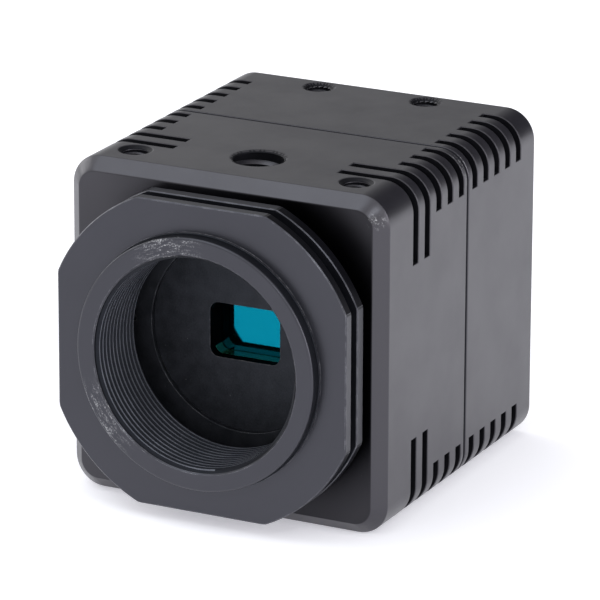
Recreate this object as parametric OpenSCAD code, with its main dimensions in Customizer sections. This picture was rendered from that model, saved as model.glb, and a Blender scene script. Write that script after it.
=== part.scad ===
// Cooled astronomy camera: a square finned body with a screw-in lens adapter.
// Origin: centre of the lens flange face. +Y runs into the camera along the
// optical axis, +X is to the right seen from the front, +Z is up. Millimetres.

/* [Body] */
// Width and height of the square body
body_w = 40; // [40:0.5:44]
// Distance from the lens flange face to the front face of the body
body_front = 7.4; // [7.2:0.1:7.6]
// Distance from the lens flange face to the rear face of the body
body_rear = 48.4; // [48.4:0.2:52]
// Distance from the lens flange face to the seam between the two shells
seam_y = 29.5; // [29.2:0.1:29.8]
// Radius of the four long edges
corner_r = 3.6; // [3:0.1:4]
// Chamfer around the front face
front_chamfer = 1.5; // [0.8:0.1:1.8]
// Chamfer of each shell at the seam
seam_chamfer = 0.3; // [0.2:0.05:0.4]
// Chamfer around the rear face
rear_chamfer = 0.4; // [0.2:0.1:0.8]
// Thickness of the side walls
wall = 2.2; // [2:0.1:2.4]

/* [Vent slots] */
// Width of a vent slot along the body
slot_w = 1.4; // [1:0.1:1.6]
// Spacing of the vent slots
slot_pitch = 3.02; // [2.9:0.01:3.05]
// Vent slots on each corner of each shell
slot_count = 5; // [3:1:5]
// First slot of the front shell, from the lens flange
front_slot_y = 15.7; // [15.7:0.1:15.9]
// First slot of the rear shell, from the lens flange
rear_slot_y = 31.45; // [31.2:0.05:31.5]
// Distance from the middle of a face at which a short slot starts
slot_start = 15.1; // [14.8:0.1:15.4]
// Distance from the middle of a face at which a long slot starts
long_slot_start = 10.4; // [10:0.1:12]
// Long slots, counted from the front
long_slot_count = 2; // [0:1:3]

/* [Lens adapter] */
// Minor radius of the lens thread (1 inch, 32 threads per inch)
lens_thread_r = 12.35; // [12.2:0.01:12.4]
// Radius of the chamfer at the mouth of the lens thread
lens_mouth_r = 12.8; // [12.7:0.05:13]
// Radius of the collar that the lens rests against
collar_r = 14.9; // [14.6:0.1:15.2]
// Height of the collar in front of the adapter flange
collar_h = 1.7; // [1.5:0.1:1.8]
// Radius of the adapter flange and of the lock ring
flange_r = 19.9; // [19.5:0.1:20]
// Distance across the spanner flats of the flange and the lock ring
flange_flats = 36.4; // [36:0.2:37]
// Thickness of the adapter flange
flange_t = 1.3; // [1.2:0.1:1.4]
// Radius of the adapter's outer thread
barrel_r = 15; // [15:0.1:15.1]
// Distance from the lens flange to the inner end of the adapter
barrel_end = 9.8; // [9.6:0.1:10]
// Lens flange to image sensor
flange_focal = 17.526; // [17.526:0.001:17.6]

/* [Lock ring] */
// Distance from the lens flange to the front face of the lock ring
lock_front = 4.5; // [4.5:0.1:4.6]
// Thickness of the lock ring
lock_t = 1.5; // [1.4:0.1:1.5]
// Radius of the raised boss that the lock ring closes on
boss_r = 16.6; // [16.5:0.1:16.8]

/* [Window] */
// Width of the opening in the sensor mask
window_w = 8.9; // [8:0.1:9]
// Height of the opening in the sensor mask
window_h = 6.5; // [6:0.1:7]
// Corner radius of the opening in the sensor mask
window_corner = 1.1; // [0.8:0.1:1.4]
// Distance from the lens flange to the glass behind the mask
glass_front = 15.7; // [15.6:0.05:15.7]
// Thickness of that glass
glass_t = 0.55; // [0.5:0.05:0.6]
// Radius of that glass
glass_r = 13.4; // [13:0.1:13.4]

/* [Image sensor] */
// Width of the sensor's ceramic package
package_w = 14; // [13:0.5:15]
// Height of the sensor's ceramic package
package_h = 12; // [11:0.5:13]
// Width of the sensor die
die_w = 8.4; // [8:0.1:8.8]
// Height of the sensor die
die_h = 6.2; // [5.8:0.1:6.6]

/* [Cooler] */
// Width of the thermoelectric cooler
tec_w = 15; // [14:0.5:15]
// Pellets along each side of the cooler
pellet_count = 8; // [6:1:8]
// Width of the heat sink
sink_w = 25.8; // [25:0.1:25.8]
// Thickness of the heat sink's base
sink_base = 2.8; // [2.4:0.1:3]
// Length of the heat sink's pins
pin_h = 9; // [6:0.5:9]
// Spacing of the heat sink's pins
pin_pitch = 3.2; // [3.2:0.1:3.2]

/* [Fan] */
// Width of the square fan frame
fan_w = 25; // [25:0.1:25]
// Depth of the fan
fan_t = 7; // [7:0.1:7]
// Height of the fan's centre above the optical axis
fan_z = 3; // [2.8:0.1:3]
// Radius of the fan's blades
blade_r = 11.2; // [10.8:0.1:11.2]
// Number of blades
blade_count = 7; // [5:1:9]

/* [Fixings] */
// Minor radius of the tripod thread (1/4 inch, 20 threads per inch)
tripod_r = 2.6; // [2.5:0.05:2.7]
// Distance of the tripod thread from the lens flange
tripod_y = 16.1; // [16:0.1:16.2]
// Minor radius of the small threads on top (M3)
m3_r = 1.25; // [1.2:0.05:1.3]
// Distance between the two front small threads
front_m3_gap = 28; // [28:0.1:28]
// Distance of the front small threads from the lens flange
front_m3_y = 12.65; // [12.5:0.05:12.7]
// Distance between the two rear small threads
rear_m3_gap = 14; // [13:0.5:15]
// Distance of the rear small threads from the lens flange
rear_m3_y = 45.6; // [45.4:0.1:45.6]

/* [Hidden] */
$fn = 96;
eps = 0.01;       // how far a cutter runs past the face it opens
fit = 0.05;       // radial play of the pieces that turn in a bore

half = body_w / 2;
cavity_half = half - wall;
cavity_r = corner_r - wall + 0.6;

// Front shell, from the flange inwards
boss_front = lock_front + lock_t;
front_wall_back = 12.6;
ring_front = 12;
mask_front = 12.7;
mask_t = 1.3;
frame_wall = 0.7;
frame_gap = 0.05;
mask_skirt_r = 12.6;
mask_back = glass_front - 0.4;
glass_back = glass_front + glass_t;
shoulder_front = glass_front - 0.2;
shoulder_back = 17.3;
tube_end = 18.6;
shoulder_r = 9.5;
chamber_r = 13.6;
mask_ring_r = 11.65;

// Sensor, cooler and heat sink, from the sensor backwards
package_front = 17;
cover_front = 16.5;
board_front = 19;
board_back = 20;
board_r = 16.8;
notch_z = 14.4;
finger_back = 21.6;
cold_plate_back = 22.3;
pellet_back = 23.5;
sink_front = 24.2;
sink_back = sink_front + sink_base;
sink_low = -12.9;
sink_high = 15;
finger_w = 9;
standoff_x = 10.7;
foam_half = 10.9;
foam_back = 22.6;

// Tie screws
tie_x = 15.4;
tie_z = 11.5;
post_r = 2.1;
m2_r = 1;
m2_tap_r = 0.85;
m2_head_r = 1.9;

// Rear shell
rear_wall = 4;
rear_wall_front = body_rear - rear_wall;
fan_back = rear_wall_front;
fan_front = fan_back - fan_t;
duct_r = blade_r + 0.4;
fan_hole_x = 10;
guard_t = 0.8;
guard_half = 13.2;
guard_front = body_rear - guard_t;

// Main board, lying flat under the fan
main_z = -16.4;
main_t = 1;
main_top = main_z + main_t;
main_y0 = 30.2;
main_y1 = rear_wall_front - 0.2;
main_half = 12.6;
board_screw_x = 10.9;
board_screw_y = [32.4, 40.9];
socket_end = body_rear - 0.2;
usb_x = -4.6;
usb_w = 8.94;
usb_h = 3.26;
usb_z = main_top + usb_h / 2;
power_x = 5;
power_r = 2.15;
power_z = main_top + power_r;
light_x = 10.6;
light_z = -12.8;

// Cables: centre line points, rounded by the sweep below
hot_lead_path = [[-4, 23.05, 9.1], [-7.5, 23.05, 8.4], [-13.6, 23.2, 6.3], [-16.6, 24.6, 5],
    [-16.6, 29, 3], [-16.4, 33.5, -1.5], [-15, 36.7, -6], [-12.8, 36.7, -9.8],
    [-11.6, 36.3, -12.3], [-11.5, 35.6, -13.5]];
cold_lead_path = [[2.2, 23.05, 9.2], [-1, 23.05, 10], [-6.5, 23.05, 9.7], [-13.2, 23.1, 7.5],
    [-15.6, 24.9, 6.4], [-15.6, 29, 4.2], [-15.2, 33.5, -0.6], [-13.9, 36.7, -5.2], [-11.7, 36.7, -9.2],
    [-10.5, 36.3, -12.2], [-10.5, 35.6, -13.5]];
fan_lead_path = [[10.2, 38.1, -9.7], [10.4, 37.6, -10.8], [10.2, 36.8, -11.8], [9.5, 36.1, -12.6],
    [9.2, 35.7, -13.3]];
probe_lead_path = [[6.6, 21, 0], [8.6, 21, 0], [11.4, 21, 0.2], [12.4, 20.9, 0.6], [12.9, 20.2, 1]];
flex_path = [[21.1, -14.0], [23, -14.05], [25, -14.4], [27.5, -15.0], [29.5, -15.05], [31.2, -14.9]];

// ---------------------------------------------------------------- helpers

// Extrudes a flat outline (x right, y up) along +Y, from y over h.
module along_y(y, h) {
    translate([0, y + h, 0]) rotate([90, 0, 0]) linear_extrude(height = h) children();
}

// A cylinder or cone along +Y.
module rod_y(r, y, h) {
    translate([0, y, 0]) rotate([-90, 0, 0]) cylinder(r = r, h = h);
}

module cone_y(r1, r2, y, h) {
    translate([0, y, 0]) rotate([-90, 0, 0]) cylinder(r1 = r1, r2 = r2, h = h);
}

module ring_y(r_out, r_in, y, h) {
    difference() {
        rod_y(r_out, y, h);
        rod_y(r_in, y - eps, h + 2 * eps);
    }
}

// A box from its low corner to its high corner.
module block(low, high) {
    translate(low) cube(high - low);
}

module rounded_rect(w, h, r) {
    square([w, h - 2 * r], center = true);
    square([w - 2 * r, h], center = true);
    for (x = [-1, 1], y = [-1, 1])
        translate([x * (w / 2 - r), y * (h / 2 - r)]) circle(r = r);
}

module stadium(w, h) {
    square([w - h, h], center = true);
    for (x = [-1, 1]) translate([x * (w - h) / 2, 0]) circle(r = h / 2);
}

// Repeats what it is given in the four corners, mirrored about X and Z.
module four_corners() {
    for (x = [0, 1], z = [0, 1]) mirror([x, 0, 0]) mirror([0, 0, z]) children();
}

module at(x, z) {
    translate([x, 0, z]) children();
}

// The body's square outline going from one size to another, with round
// corners about the same centres: a chamfer all round.
module body_taper(inset_1, inset_2, y, h) {
    inner = half - corner_r;
    profile = [[-half + inset_1, y], [half - inset_1, y], [half - inset_2, y + h],
        [-half + inset_2, y + h]];
    translate([0, 0, -inner]) linear_extrude(height = 2 * inner) polygon(profile);
    translate([-inner, 0, 0]) rotate([0, 90, 0]) linear_extrude(height = 2 * inner)
        polygon(profile);
    four_corners() at(inner, inner) cone_y(corner_r - inset_1, corner_r - inset_2, y, h);
}

// A straight stretch of the body, with a chamfer at each end.
module body_shell(y0, y1, chamfer_0, chamfer_1) {
    body_taper(chamfer_0, 0, y0, chamfer_0);
    along_y(y0 + chamfer_0, y1 - y0 - chamfer_0 - chamfer_1) rounded_rect(body_w, body_w, corner_r);
    body_taper(0, chamfer_1, y1 - chamfer_1, chamfer_1);
}

module cavity(y0, y1) {
    along_y(y0, y1 - y0) rounded_rect(2 * cavity_half, 2 * cavity_half, cavity_r);
}

// One vent slot around all four long corners. A short slot takes the whole
// corner away; a long one only cuts through the walls.
module vent_slot(y, long) {
    start = long ? long_slot_start : slot_start;
    four_corners() difference() {
        block([start, y - slot_w / 2, start], [half + 1, y + slot_w / 2, half + 1]);
        if (long) block([0, y - slot_w, 0], [cavity_half - 0.1, y + slot_w, cavity_half - 0.1]);
    }
}

module vent_slots(y, long_ones) {
    for (i = [0 : slot_count - 1]) vent_slot(y + i * slot_pitch, i < long_ones);
}

module gasket_outline(play) {
    difference() {
        rounded_rect(2 * (half - 1.1 + play), 2 * (half - 1.1 + play), corner_r - 1.1);
        rounded_rect(2 * (half - 1.7 - play), 2 * (half - 1.7 - play), corner_r - 1.7);
    }
}

// A corner post for a tie screw, joined to the side wall.
module tie_posts(y0, y1) {
    four_corners() {
        at(tie_x, tie_z) rod_y(post_r, y0, y1 - y0);
        block([tie_x, y0, tie_z - 1.5], [cavity_half + 0.2, y1, tie_z + 1.5]);
    }
}

// A threaded hole in the top face, at its minor radius, with a countersink.
module top_hole(x, y, r, depth, sink) {
    translate([x, y, half - depth]) cylinder(r = r, h = depth + eps);
    translate([x, y, half - sink]) cylinder(r1 = r, r2 = r + sink + eps, h = sink + eps);
}

// Rounds a run of points by cutting its corners twice.
function cut_corners(p) = concat([p[0]],
    [for (i = [0 : len(p) - 2]) each [0.75 * p[i] + 0.25 * p[i + 1], 0.25 * p[i] + 0.75 * p[i + 1]]],
    [p[len(p) - 1]]);
function smooth_path(p) = cut_corners(cut_corners(p));
function unit(v) = v / norm(v);
function heading(p, i) = unit(p[min(i + 1, len(p) - 1)] - p[max(i - 1, 0)]);

// A round lead along a path. No stretch of the path may follow the axis "side".
module lead(path, r, side) {
    p = smooth_path(path);
    n = 8;
    rings = [for (i = [0 : len(p) - 1])
        let (t = heading(p, i), u = unit(cross(t, side)), v = cross(t, u))
        for (k = [0 : n - 1]) p[i] + r * (cos(360 * k / n) * u + sin(360 * k / n) * v)];
    last = len(p) - 1;
    polyhedron(points = rings, faces = concat(
        [[for (k = [0 : n - 1]) k]],
        [for (i = [0 : last - 1], k = [0 : n - 1])
            [i * n + k, (i + 1) * n + k, (i + 1) * n + (k + 1) % n, i * n + (k + 1) % n]],
        [[for (k = [0 : n - 1]) last * n + n - 1 - k]]));
}

// A cap screw along Y: its head starts at y and its shank runs on over length.
module cap_screw(x, z, y, head_h, length, way) {
    at(x, z) difference() {
        union() {
            rod_y(m2_head_r, min(y, y + way * head_h), head_h);
            rod_y(m2_tap_r, min(y + way * head_h, y + way * (head_h + length)), length);
        }
        translate([0, y - (way < 0 ? 1 : 0), 0]) rotate([-90, 0, 0])
            cylinder(r = 0.87, h = 1 + (way < 0 ? eps : 0), $fn = 6);
    }
}

// ---------------------------------------------------------------- housing

module front_housing() {
    color("#4a494d") difference() {
        union() {
            difference() {
                body_shell(body_front, seam_y, front_chamfer, seam_chamfer);
                cavity(front_wall_back, seam_y + eps);
            }
            rod_y(boss_r, boss_front, tube_end - boss_front);
            tie_posts(front_wall_back - eps, seam_y);
            for (x = [-1, 1]) block([x * front_m3_gap / 2 - 2.6, front_wall_back - eps, 14.4],
                [x * front_m3_gap / 2 + 2.6, 14.9, cavity_half + 0.2]);
            block([-5.5, front_wall_back - eps, notch_z + 0.2],
                [5.5, tripod_y + 4.6, cavity_half + 0.2]);
        }
        rod_y(barrel_r + fit, boss_front - eps, shoulder_front - boss_front + eps);
        rod_y(glass_r + 0.1, shoulder_front - eps, glass_back - shoulder_front + eps);
        rod_y(shoulder_r, glass_back - eps, shoulder_back - glass_back + 2 * eps);
        rod_y(chamber_r, shoulder_back, tube_end - shoulder_back + eps);
        vent_slots(front_slot_y, long_slot_count);
        along_y(seam_y - 0.3, 0.3 + eps) gasket_outline(0.02);
        four_corners() {
            at(tie_x, tie_z) rod_y(m2_tap_r, seam_y - 9, 9 + eps);
            at(standoff_x, standoff_x) rod_y(m2_tap_r, tube_end - 2.4, 2.4 + eps);
        }
        for (x = [-1, 1]) top_hole(x * front_m3_gap / 2, front_m3_y, m3_r, 5, 0.6);
        top_hole(0, tripod_y, tripod_r, 4.6, 0.55);
    }
}

module rear_housing() {
    color("#4a494d") difference() {
        union() {
            difference() {
                body_shell(seam_y, body_rear, seam_chamfer, rear_chamfer);
                cavity(seam_y - eps, rear_wall_front);
            }
            tie_posts(seam_y, rear_wall_front + eps);
            for (x = [-1, 1], y = board_screw_y)
                translate([x * board_screw_x, y, -cavity_half - 0.2])
                    cylinder(r = 1.7, h = main_z + cavity_half + 0.2);
        }
        vent_slots(rear_slot_y, 0);
        along_y(seam_y - eps, 0.3 + eps) gasket_outline(0.02);
        at(0, fan_z) rod_y(duct_r, rear_wall_front - eps, rear_wall + 2 * eps);
        translate([0, 0, fan_z]) along_y(guard_front, guard_t + eps)
            rounded_rect(2 * guard_half + 0.1, 2 * guard_half + 0.1, 2);
        four_corners() at(tie_x, tie_z) {
            rod_y(m2_r + 0.1, seam_y - eps, body_rear - seam_y + 2 * eps);
            rod_y(m2_head_r + 0.1, body_rear - 2.2, 2.2 + eps);
        }
        at(0, fan_z) four_corners() at(fan_hole_x, fan_hole_x)
            rod_y(m2_r + 0.1, rear_wall_front - eps, rear_wall + 2 * eps);
        for (x = [-1, 1], y = board_screw_y) translate([x * board_screw_x, y, -half + 1.2])
            cylinder(r = m2_tap_r, h = 4);
        translate([usb_x, 0, usb_z]) along_y(rear_wall_front - eps, rear_wall + 2 * eps)
            stadium(usb_w + 0.3, usb_h + 0.3);
        at(power_x, power_z) rod_y(power_r + 0.1, rear_wall_front - eps, rear_wall + 2 * eps);
        at(light_x, light_z) rod_y(0.95, rear_wall_front - eps, rear_wall + 2 * eps);
        for (x = [-1, 1]) top_hole(x * rear_m3_gap / 2, rear_m3_y, m3_r, 4.1, 0.6);
    }
}

module housing_gasket() {
    color("#202022") along_y(seam_y - 0.29, 0.58) gasket_outline(0);
}

module tie_screws() {
    color("#2a2a2d") four_corners() cap_screw(tie_x, tie_z, body_rear - 0.2, 2, 21.5, -1);
}

// ---------------------------------------------------------------- lens mount

module flange_outline() {
    intersection() {
        circle(r = flange_r);
        square(flange_flats, center = true);
    }
}

module lens_adapter() {
    color("#4d4b50") difference() {
        union() {
            rod_y(collar_r, 0, collar_h);
            along_y(collar_h, flange_t) flange_outline();
            rod_y(barrel_r, collar_h, barrel_end - collar_h);
        }
        cone_y(lens_mouth_r + eps, lens_thread_r, -eps, lens_mouth_r - lens_thread_r + eps);
        rod_y(lens_thread_r, -eps, barrel_end + 2 * eps);
        ring_y(barrel_r + 1, 14.1, 8.2, 1);
    }
}

module adapter_o_ring() {
    color("#161616") translate([0, 8.7, 0]) rotate([-90, 0, 0])
        rotate_extrude() translate([14.57, 0]) circle(r = 0.43, $fn = 24);
}

module lock_ring() {
    color("#4d4b50") difference() {
        along_y(lock_front, lock_t) flange_outline();
        rod_y(barrel_r + fit, lock_front - eps, lock_t + 2 * eps);
        rod_y(boss_r + 0.2, boss_front - 0.3, 0.3 + eps);
    }
}

module lock_washer() {
    color("#d8d5cc") ring_y(boss_r - 0.1, barrel_r + 0.15, boss_front - 0.28, 0.26);
}

module retaining_ring() {
    color("#2c2b2e") difference() {
        ring_y(barrel_r + 0.02, mask_ring_r, ring_front, mask_front - ring_front);
        for (x = [-1, 1]) at(x * 14.1, 0) rod_y(0.45, ring_front - eps, 0.45 + eps);
    }
}

// ---------------------------------------------------------------- window

// A plate with the window opening, on a skirt that holds it off the glass.
module sensor_mask() {
    color("#38373a") {
        along_y(mask_front, mask_t) difference() {
            circle(r = barrel_r - 0.05);
            rounded_rect(window_w, window_h, window_corner);
        }
        ring_y(barrel_r - 0.05, mask_skirt_r, mask_front + mask_t - eps,
            mask_back - mask_front - mask_t + eps);
    }
}

// A short rectangular tube between the mask and the glass.
module window_frame() {
    front = mask_front + mask_t;
    color("#141416") along_y(front, glass_front - frame_gap - front) difference() {
        rounded_rect(window_w + 2 * frame_wall, window_h + 2 * frame_wall,
            window_corner + frame_wall);
        rounded_rect(window_w + 0.1, window_h + 0.1, window_corner);
    }
}

module filter_glass() {
    color("#0a7d8c") rod_y(glass_r, glass_front, glass_t);
}

module filter_gasket() {
    color("#161616") ring_y(glass_r, mask_skirt_r - 0.6, mask_back, glass_front - mask_back);
}

// ---------------------------------------------------------------- image sensor

module sensor_cover_glass() {
    color("#9fc4b4") block([-package_w / 2 + 0.3, cover_front, -package_h / 2 + 0.3],
        [package_w / 2 - 0.3, package_front, package_h / 2 - 0.3]);
}

module sensor_die() {
    color("#4b3a5e") block([-die_w / 2, flange_focal, -die_h / 2],
        [die_w / 2, flange_focal + 0.4, die_h / 2]);
}

module sensor_package() {
    color("#5a5048") difference() {
        block([-package_w / 2, package_front, -package_h / 2],
            [package_w / 2, board_front, package_h / 2]);
        block([-die_w / 2 - 0.9, package_front - eps, -die_h / 2 - 0.9],
            [die_w / 2 + 0.9, flange_focal + 0.4, die_h / 2 + 0.9]);
    }
}

// Room for the block under the tripod thread, cut from the board and its seal.
module tripod_notch() {
    block([-5.8, tube_end - 1, notch_z], [5.8, board_back + 1, board_r + 1]);
}

module sensor_board() {
    color("#1d4a2c") difference() {
        rod_y(board_r, board_front, board_back - board_front);
        block([-finger_w / 2 - 0.2, board_front - 1, -finger_w / 2 - 0.2],
            [finger_w / 2 + 0.2, board_back + 1, finger_w / 2 + 0.2]);
        tripod_notch();
        four_corners() at(standoff_x, standoff_x) rod_y(m2_r + 0.1, board_front - 1, 3);
    }
}

// The flex connector at the bottom and rows of small parts at the sides.
module sensor_board_parts() {
    color("#2a2622") {
        block([-4.4, board_back, -15.2], [4.4, board_back + 1.1, -13.1]);
        for (i = [-2 : 2]) {
            block([-14.4, board_back, i * 2 - 0.6], [-12.4, board_back + 0.6, i * 2 + 0.5]);
            block([i * 2.4 - 0.9, board_back, 12.6], [i * 2.4 + 0.9, board_back + 0.8, 13.8]);
        }
    }
}

module chamber_gasket() {
    color("#161616") difference() {
        ring_y(boss_r, chamber_r, tube_end, board_front - tube_end);
        tripod_notch();
        four_corners() at(standoff_x, standoff_x) rod_y(m2_r + 0.15, tube_end - 1, 3);
    }
}

// Hexagonal posts that clamp the sensor board and carry the heat sink.
module standoffs() {
    color("#c9a655") four_corners() at(standoff_x, standoff_x) {
        difference() {
            translate([0, board_back, 0]) rotate([-90, 0, 0])
                cylinder(r = 2, h = sink_front - board_back, $fn = 6);
            rod_y(m2_tap_r, board_back + 0.6, sink_front - board_back);
        }
        rod_y(m2_tap_r, tube_end - 2.2, board_back - tube_end + 2.2 + eps);
    }
}

// ---------------------------------------------------------------- cooler

module cold_finger() {
    color("#b8703c") difference() {
        union() {
            block([-finger_w / 2, board_front, -finger_w / 2],
                [finger_w / 2, board_back + 0.4 + eps, finger_w / 2]);
            block([-tec_w / 2, board_back + 0.4, -tec_w / 2], [tec_w / 2, finger_back, tec_w / 2]);
        }
        translate([3.4, (board_back + 0.4 + finger_back) / 2, 0]) rotate([0, 90, 0])
            cylinder(r = 0.42, h = tec_w);
    }
}

module temperature_probe() {
    color("#d8d0b8") {
        translate([3.6, (board_back + 0.4 + finger_back) / 2, 0]) rotate([0, 90, 0])
            cylinder(r = 0.4, h = 3.2);
        lead(probe_lead_path, 0.25, [0, 0, 1]);
    }
}

module insulation_collar() {
    color("#e6e2d2") difference() {
        block([-foam_half, board_back + 0.4, -foam_half], [foam_half, foam_back, foam_half]);
        block([-tec_w / 2 - 0.2, board_back, -tec_w / 2 - 0.2],
            [tec_w / 2 + 0.2, foam_back + 1, tec_w / 2 + 0.2]);
        four_corners() at(standoff_x, standoff_x) rod_y(2.4, board_back, 4);
        block([tec_w / 2, board_back, -0.5], [foam_half + 1, 21.5, 0.7]);
    }
}

module tec_cold_plate() {
    color("#f0ede6") block([-tec_w / 2, finger_back, -tec_w / 2],
        [tec_w / 2, cold_plate_back, tec_w / 2]);
}

module tec_pellets() {
    pitch = tec_w / (pellet_count + 0.5);
    first = -pitch * (pellet_count - 1) / 2;
    color("#8d8f96") for (i = [0 : pellet_count - 1], k = [0 : pellet_count - 1])
        at(first + i * pitch, first + k * pitch)
            block([-0.45, cold_plate_back, -0.45], [0.45, pellet_back, 0.45]);
}

module tec_hot_plate() {
    color("#f0ede6") block([-tec_w / 2, pellet_back, -tec_w / 2],
        [tec_w / 2, sink_front, tec_w / 2 + 2.5]);
}

module tec_leads() {
    color("#b02a20") lead(hot_lead_path, 0.4, [1, 0.4, 1.6]);
    color("#1a1a1c") lead(cold_lead_path, 0.4, [1, 0.4, 1.6]);
}

module heat_sink() {
    columns = 8;
    rows = 9;
    color("#9a9ca0") difference() {
        union() {
            block([-sink_w / 2, sink_front, sink_low], [sink_w / 2, sink_back, sink_high]);
            for (i = [0 : columns - 1], k = [0 : rows - 1]) {
                x = (i - (columns - 1) / 2) * pin_pitch;
                z = -11.2 + k * pin_pitch;
                over_screw = abs(x) > 10 && abs(abs(z) - 11.2) < 1;
                if (!over_screw) at(x, z)
                    block([-0.75, sink_back - eps, -0.75], [0.75, sink_back + pin_h, 0.75]);
            }
        }
        four_corners() at(standoff_x, standoff_x) rod_y(m2_r + 0.1, sink_front - 1, sink_base + 2);
    }
}

module heat_sink_screws() {
    color("#2a2a2d") four_corners()
        cap_screw(standoff_x, standoff_x, sink_back + 1.6, 1.6, sink_base + 2.4, -1);
}

// ---------------------------------------------------------------- fan

module fan_frame() {
    color("#1b1b1d") translate([0, 0, fan_z]) {
        difference() {
            along_y(fan_front, fan_t) rounded_rect(fan_w, fan_w, 2);
            rod_y(duct_r, fan_front - eps, fan_t + 2 * eps);
            four_corners() at(fan_hole_x, fan_hole_x) rod_y(m2_r + 0.02, fan_front - 1, fan_t + 2);
        }
        for (a = [45 : 90 : 315]) rotate([0, a, 0])
            block([5, fan_front, -0.8], [duct_r + 0.3, fan_front + 1, 0.8]);
        rod_y(5.6, fan_front, 1);
        ring_y(1.9, 1.25, fan_front + 1 - eps, 4.2);
    }
}

module fan_bearing() {
    color("#8c8468") at(0, fan_z) ring_y(1.25, 0.63, fan_front + 1.1, 4);
}

module fan_stator() {
    color("#8a4a24") at(0, fan_z) {
        ring_y(2.6, 1.92, fan_front + 1.8, 2.6);
        for (a = [0 : 90 : 270]) rotate([0, a, 0]) {
            block([2.5, fan_front + 2.2, -0.6], [3.6, fan_front + 4, 0.6]);
            block([2.7, fan_front + 1.9, -1.2], [3.3, fan_front + 4.3, 1.2]);
            intersection() {
                ring_y(4.15, 3.5, fan_front + 2.1, 2);
                block([0, fan_front, -2.4], [5, fan_front + 6, 2.4]);
            }
        }
    }
}

module fan_rotor() {
    hub_front = fan_front + 1.6;
    hub_back = fan_front + 6.2;
    color("#232326") at(0, fan_z) {
        difference() {
            rod_y(6, hub_front, hub_back - hub_front);
            rod_y(5.3, hub_front - eps, hub_back - hub_front - 0.8);
            rod_y(0.6, hub_front, hub_back - hub_front - 0.3);
        }
        for (i = [0 : blade_count - 1]) rotate([0, i * 360 / blade_count, 0])
            intersection() {
                ring_y(blade_r, 5.6, hub_front + 0.1, 4.4);
                translate([0, (hub_front + hub_back) / 2, 0]) rotate([48, 0, 0])
                    block([5, -0.3, -4], [12, 0.3, 4]);
            }
    }
}

module fan_magnet() {
    color("#5a5a5e") at(0, fan_z) ring_y(5.28, 4.5, fan_front + 1.8, 3.4);
}

module fan_shaft() {
    color("#c8cacc") at(0, fan_z) rod_y(0.6, fan_front + 1.2, 4.6);
}

module fan_leads() {
    color("#b02a20") lead(fan_lead_path, 0.3, [1, 0, 0]);
    color("#1a1a1c") lead([for (p = fan_lead_path) p + [-0.9, 0, 0]], 0.3, [1, 0, 0]);
}

// Ring-slotted finger guard, let into the rear face over the fan.
module fan_guard() {
    color("#3a3a3d") translate([0, 0, fan_z]) difference() {
        along_y(guard_front, guard_t) rounded_rect(2 * guard_half, 2 * guard_half, 2);
        for (r = [4.2 : 1.9 : 9.9]) difference() {
            ring_y(r + 1.2, r, guard_front - eps, guard_t + 2 * eps);
            for (a = [0, 90]) rotate([0, a + 45, 0])
                block([-12, guard_front - 1, -0.7], [12, body_rear + 1, 0.7]);
        }
        four_corners() at(fan_hole_x, fan_hole_x)
            cone_y(m2_r + 0.1, m2_head_r + 0.1, guard_front - eps, guard_t + 2 * eps);
    }
}

module fan_screws() {
    color("#2a2a2d") at(0, fan_z) four_corners() at(fan_hole_x, fan_hole_x) difference() {
        union() {
            cone_y(m2_r, m2_head_r, guard_front, guard_t - 0.05);
            rod_y(m2_r, fan_back - 5, guard_front - fan_back + 5);
        }
        translate([0, body_rear - 0.6, 0]) rotate([-90, 0, 0]) cylinder(r = 0.7, h = 1, $fn = 6);
    }
}

// ---------------------------------------------------------------- electronics

module main_board() {
    color("#1d4a2c") difference() {
        block([-main_half, main_y0, main_z], [main_half, main_y1, main_top]);
        for (x = [-1, 1], y = board_screw_y) translate([x * board_screw_x, y, main_z - 1])
            cylinder(r = m2_r + 0.1, h = 3);
    }
}

module main_board_screws() {
    color("#c0c0c4") for (x = [-1, 1], y = board_screw_y)
        translate([x * board_screw_x, y, main_top]) {
            translate([0, 0, -2.6]) cylinder(r = m2_tap_r, h = 2.6 + eps);
            difference() {
                cylinder(r = 1.6, h = 1);
                for (a = [0, 90]) rotate([0, 0, a]) translate([-1, -0.2, 0.5]) cube([2, 0.4, 1]);
            }
        }
}

module main_board_chips() {
    color("#1c1c1f") {
        block([-6.5, 33.2, main_top], [0, 39.6, main_top + 1]);
        block([1.4, 33.4, main_top], [5.6, 37.2, main_top + 0.9]);
        for (i = [0 : 2]) block([-9.2, 34 + i * 2, main_top], [-7.4, 35.1 + i * 2, main_top + 0.7]);
        for (i = [0 : 2]) block([10.8, 34.4 + i * 1.1, main_top], [12, 35 + i * 1.1, main_top + 0.5]);
    }
}

// The flex connector, the cooler's header and the fan's header.
module main_board_headers() {
    color("#e4dcc8") {
        block([-4.4, 31.2, main_top], [4.4, 32.6, main_top + 1]);
        block([-12.2, 34.2, main_top], [-9.9, 36.6, main_top + 1.8]);
        block([7.2, 34.2, main_top], [10.2, 36.6, main_top + 1.8]);
    }
}

// A flat flexible cable, bowed a little between its two connectors.
module flex_cable() {
    p = smooth_path(flex_path);
    outline = concat([for (q = p) q + [0, 0.1]],
        [for (i = [len(p) - 1 : -1 : 0]) p[i] - [0, 0.1]]);
    color("#b8782c") translate([-3.25, 0, 0]) rotate([90, 0, 90]) linear_extrude(height = 6.5)
        polygon(outline);
}

module usb_socket_shell() {
    color("#b8b8bc") translate([usb_x, 0, usb_z]) difference() {
        along_y(socket_end - 7.3, 7.3) stadium(usb_w, usb_h);
        along_y(socket_end - 6.5, 6.5 + eps) stadium(usb_w - 0.6, usb_h - 0.6);
    }
}

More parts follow.
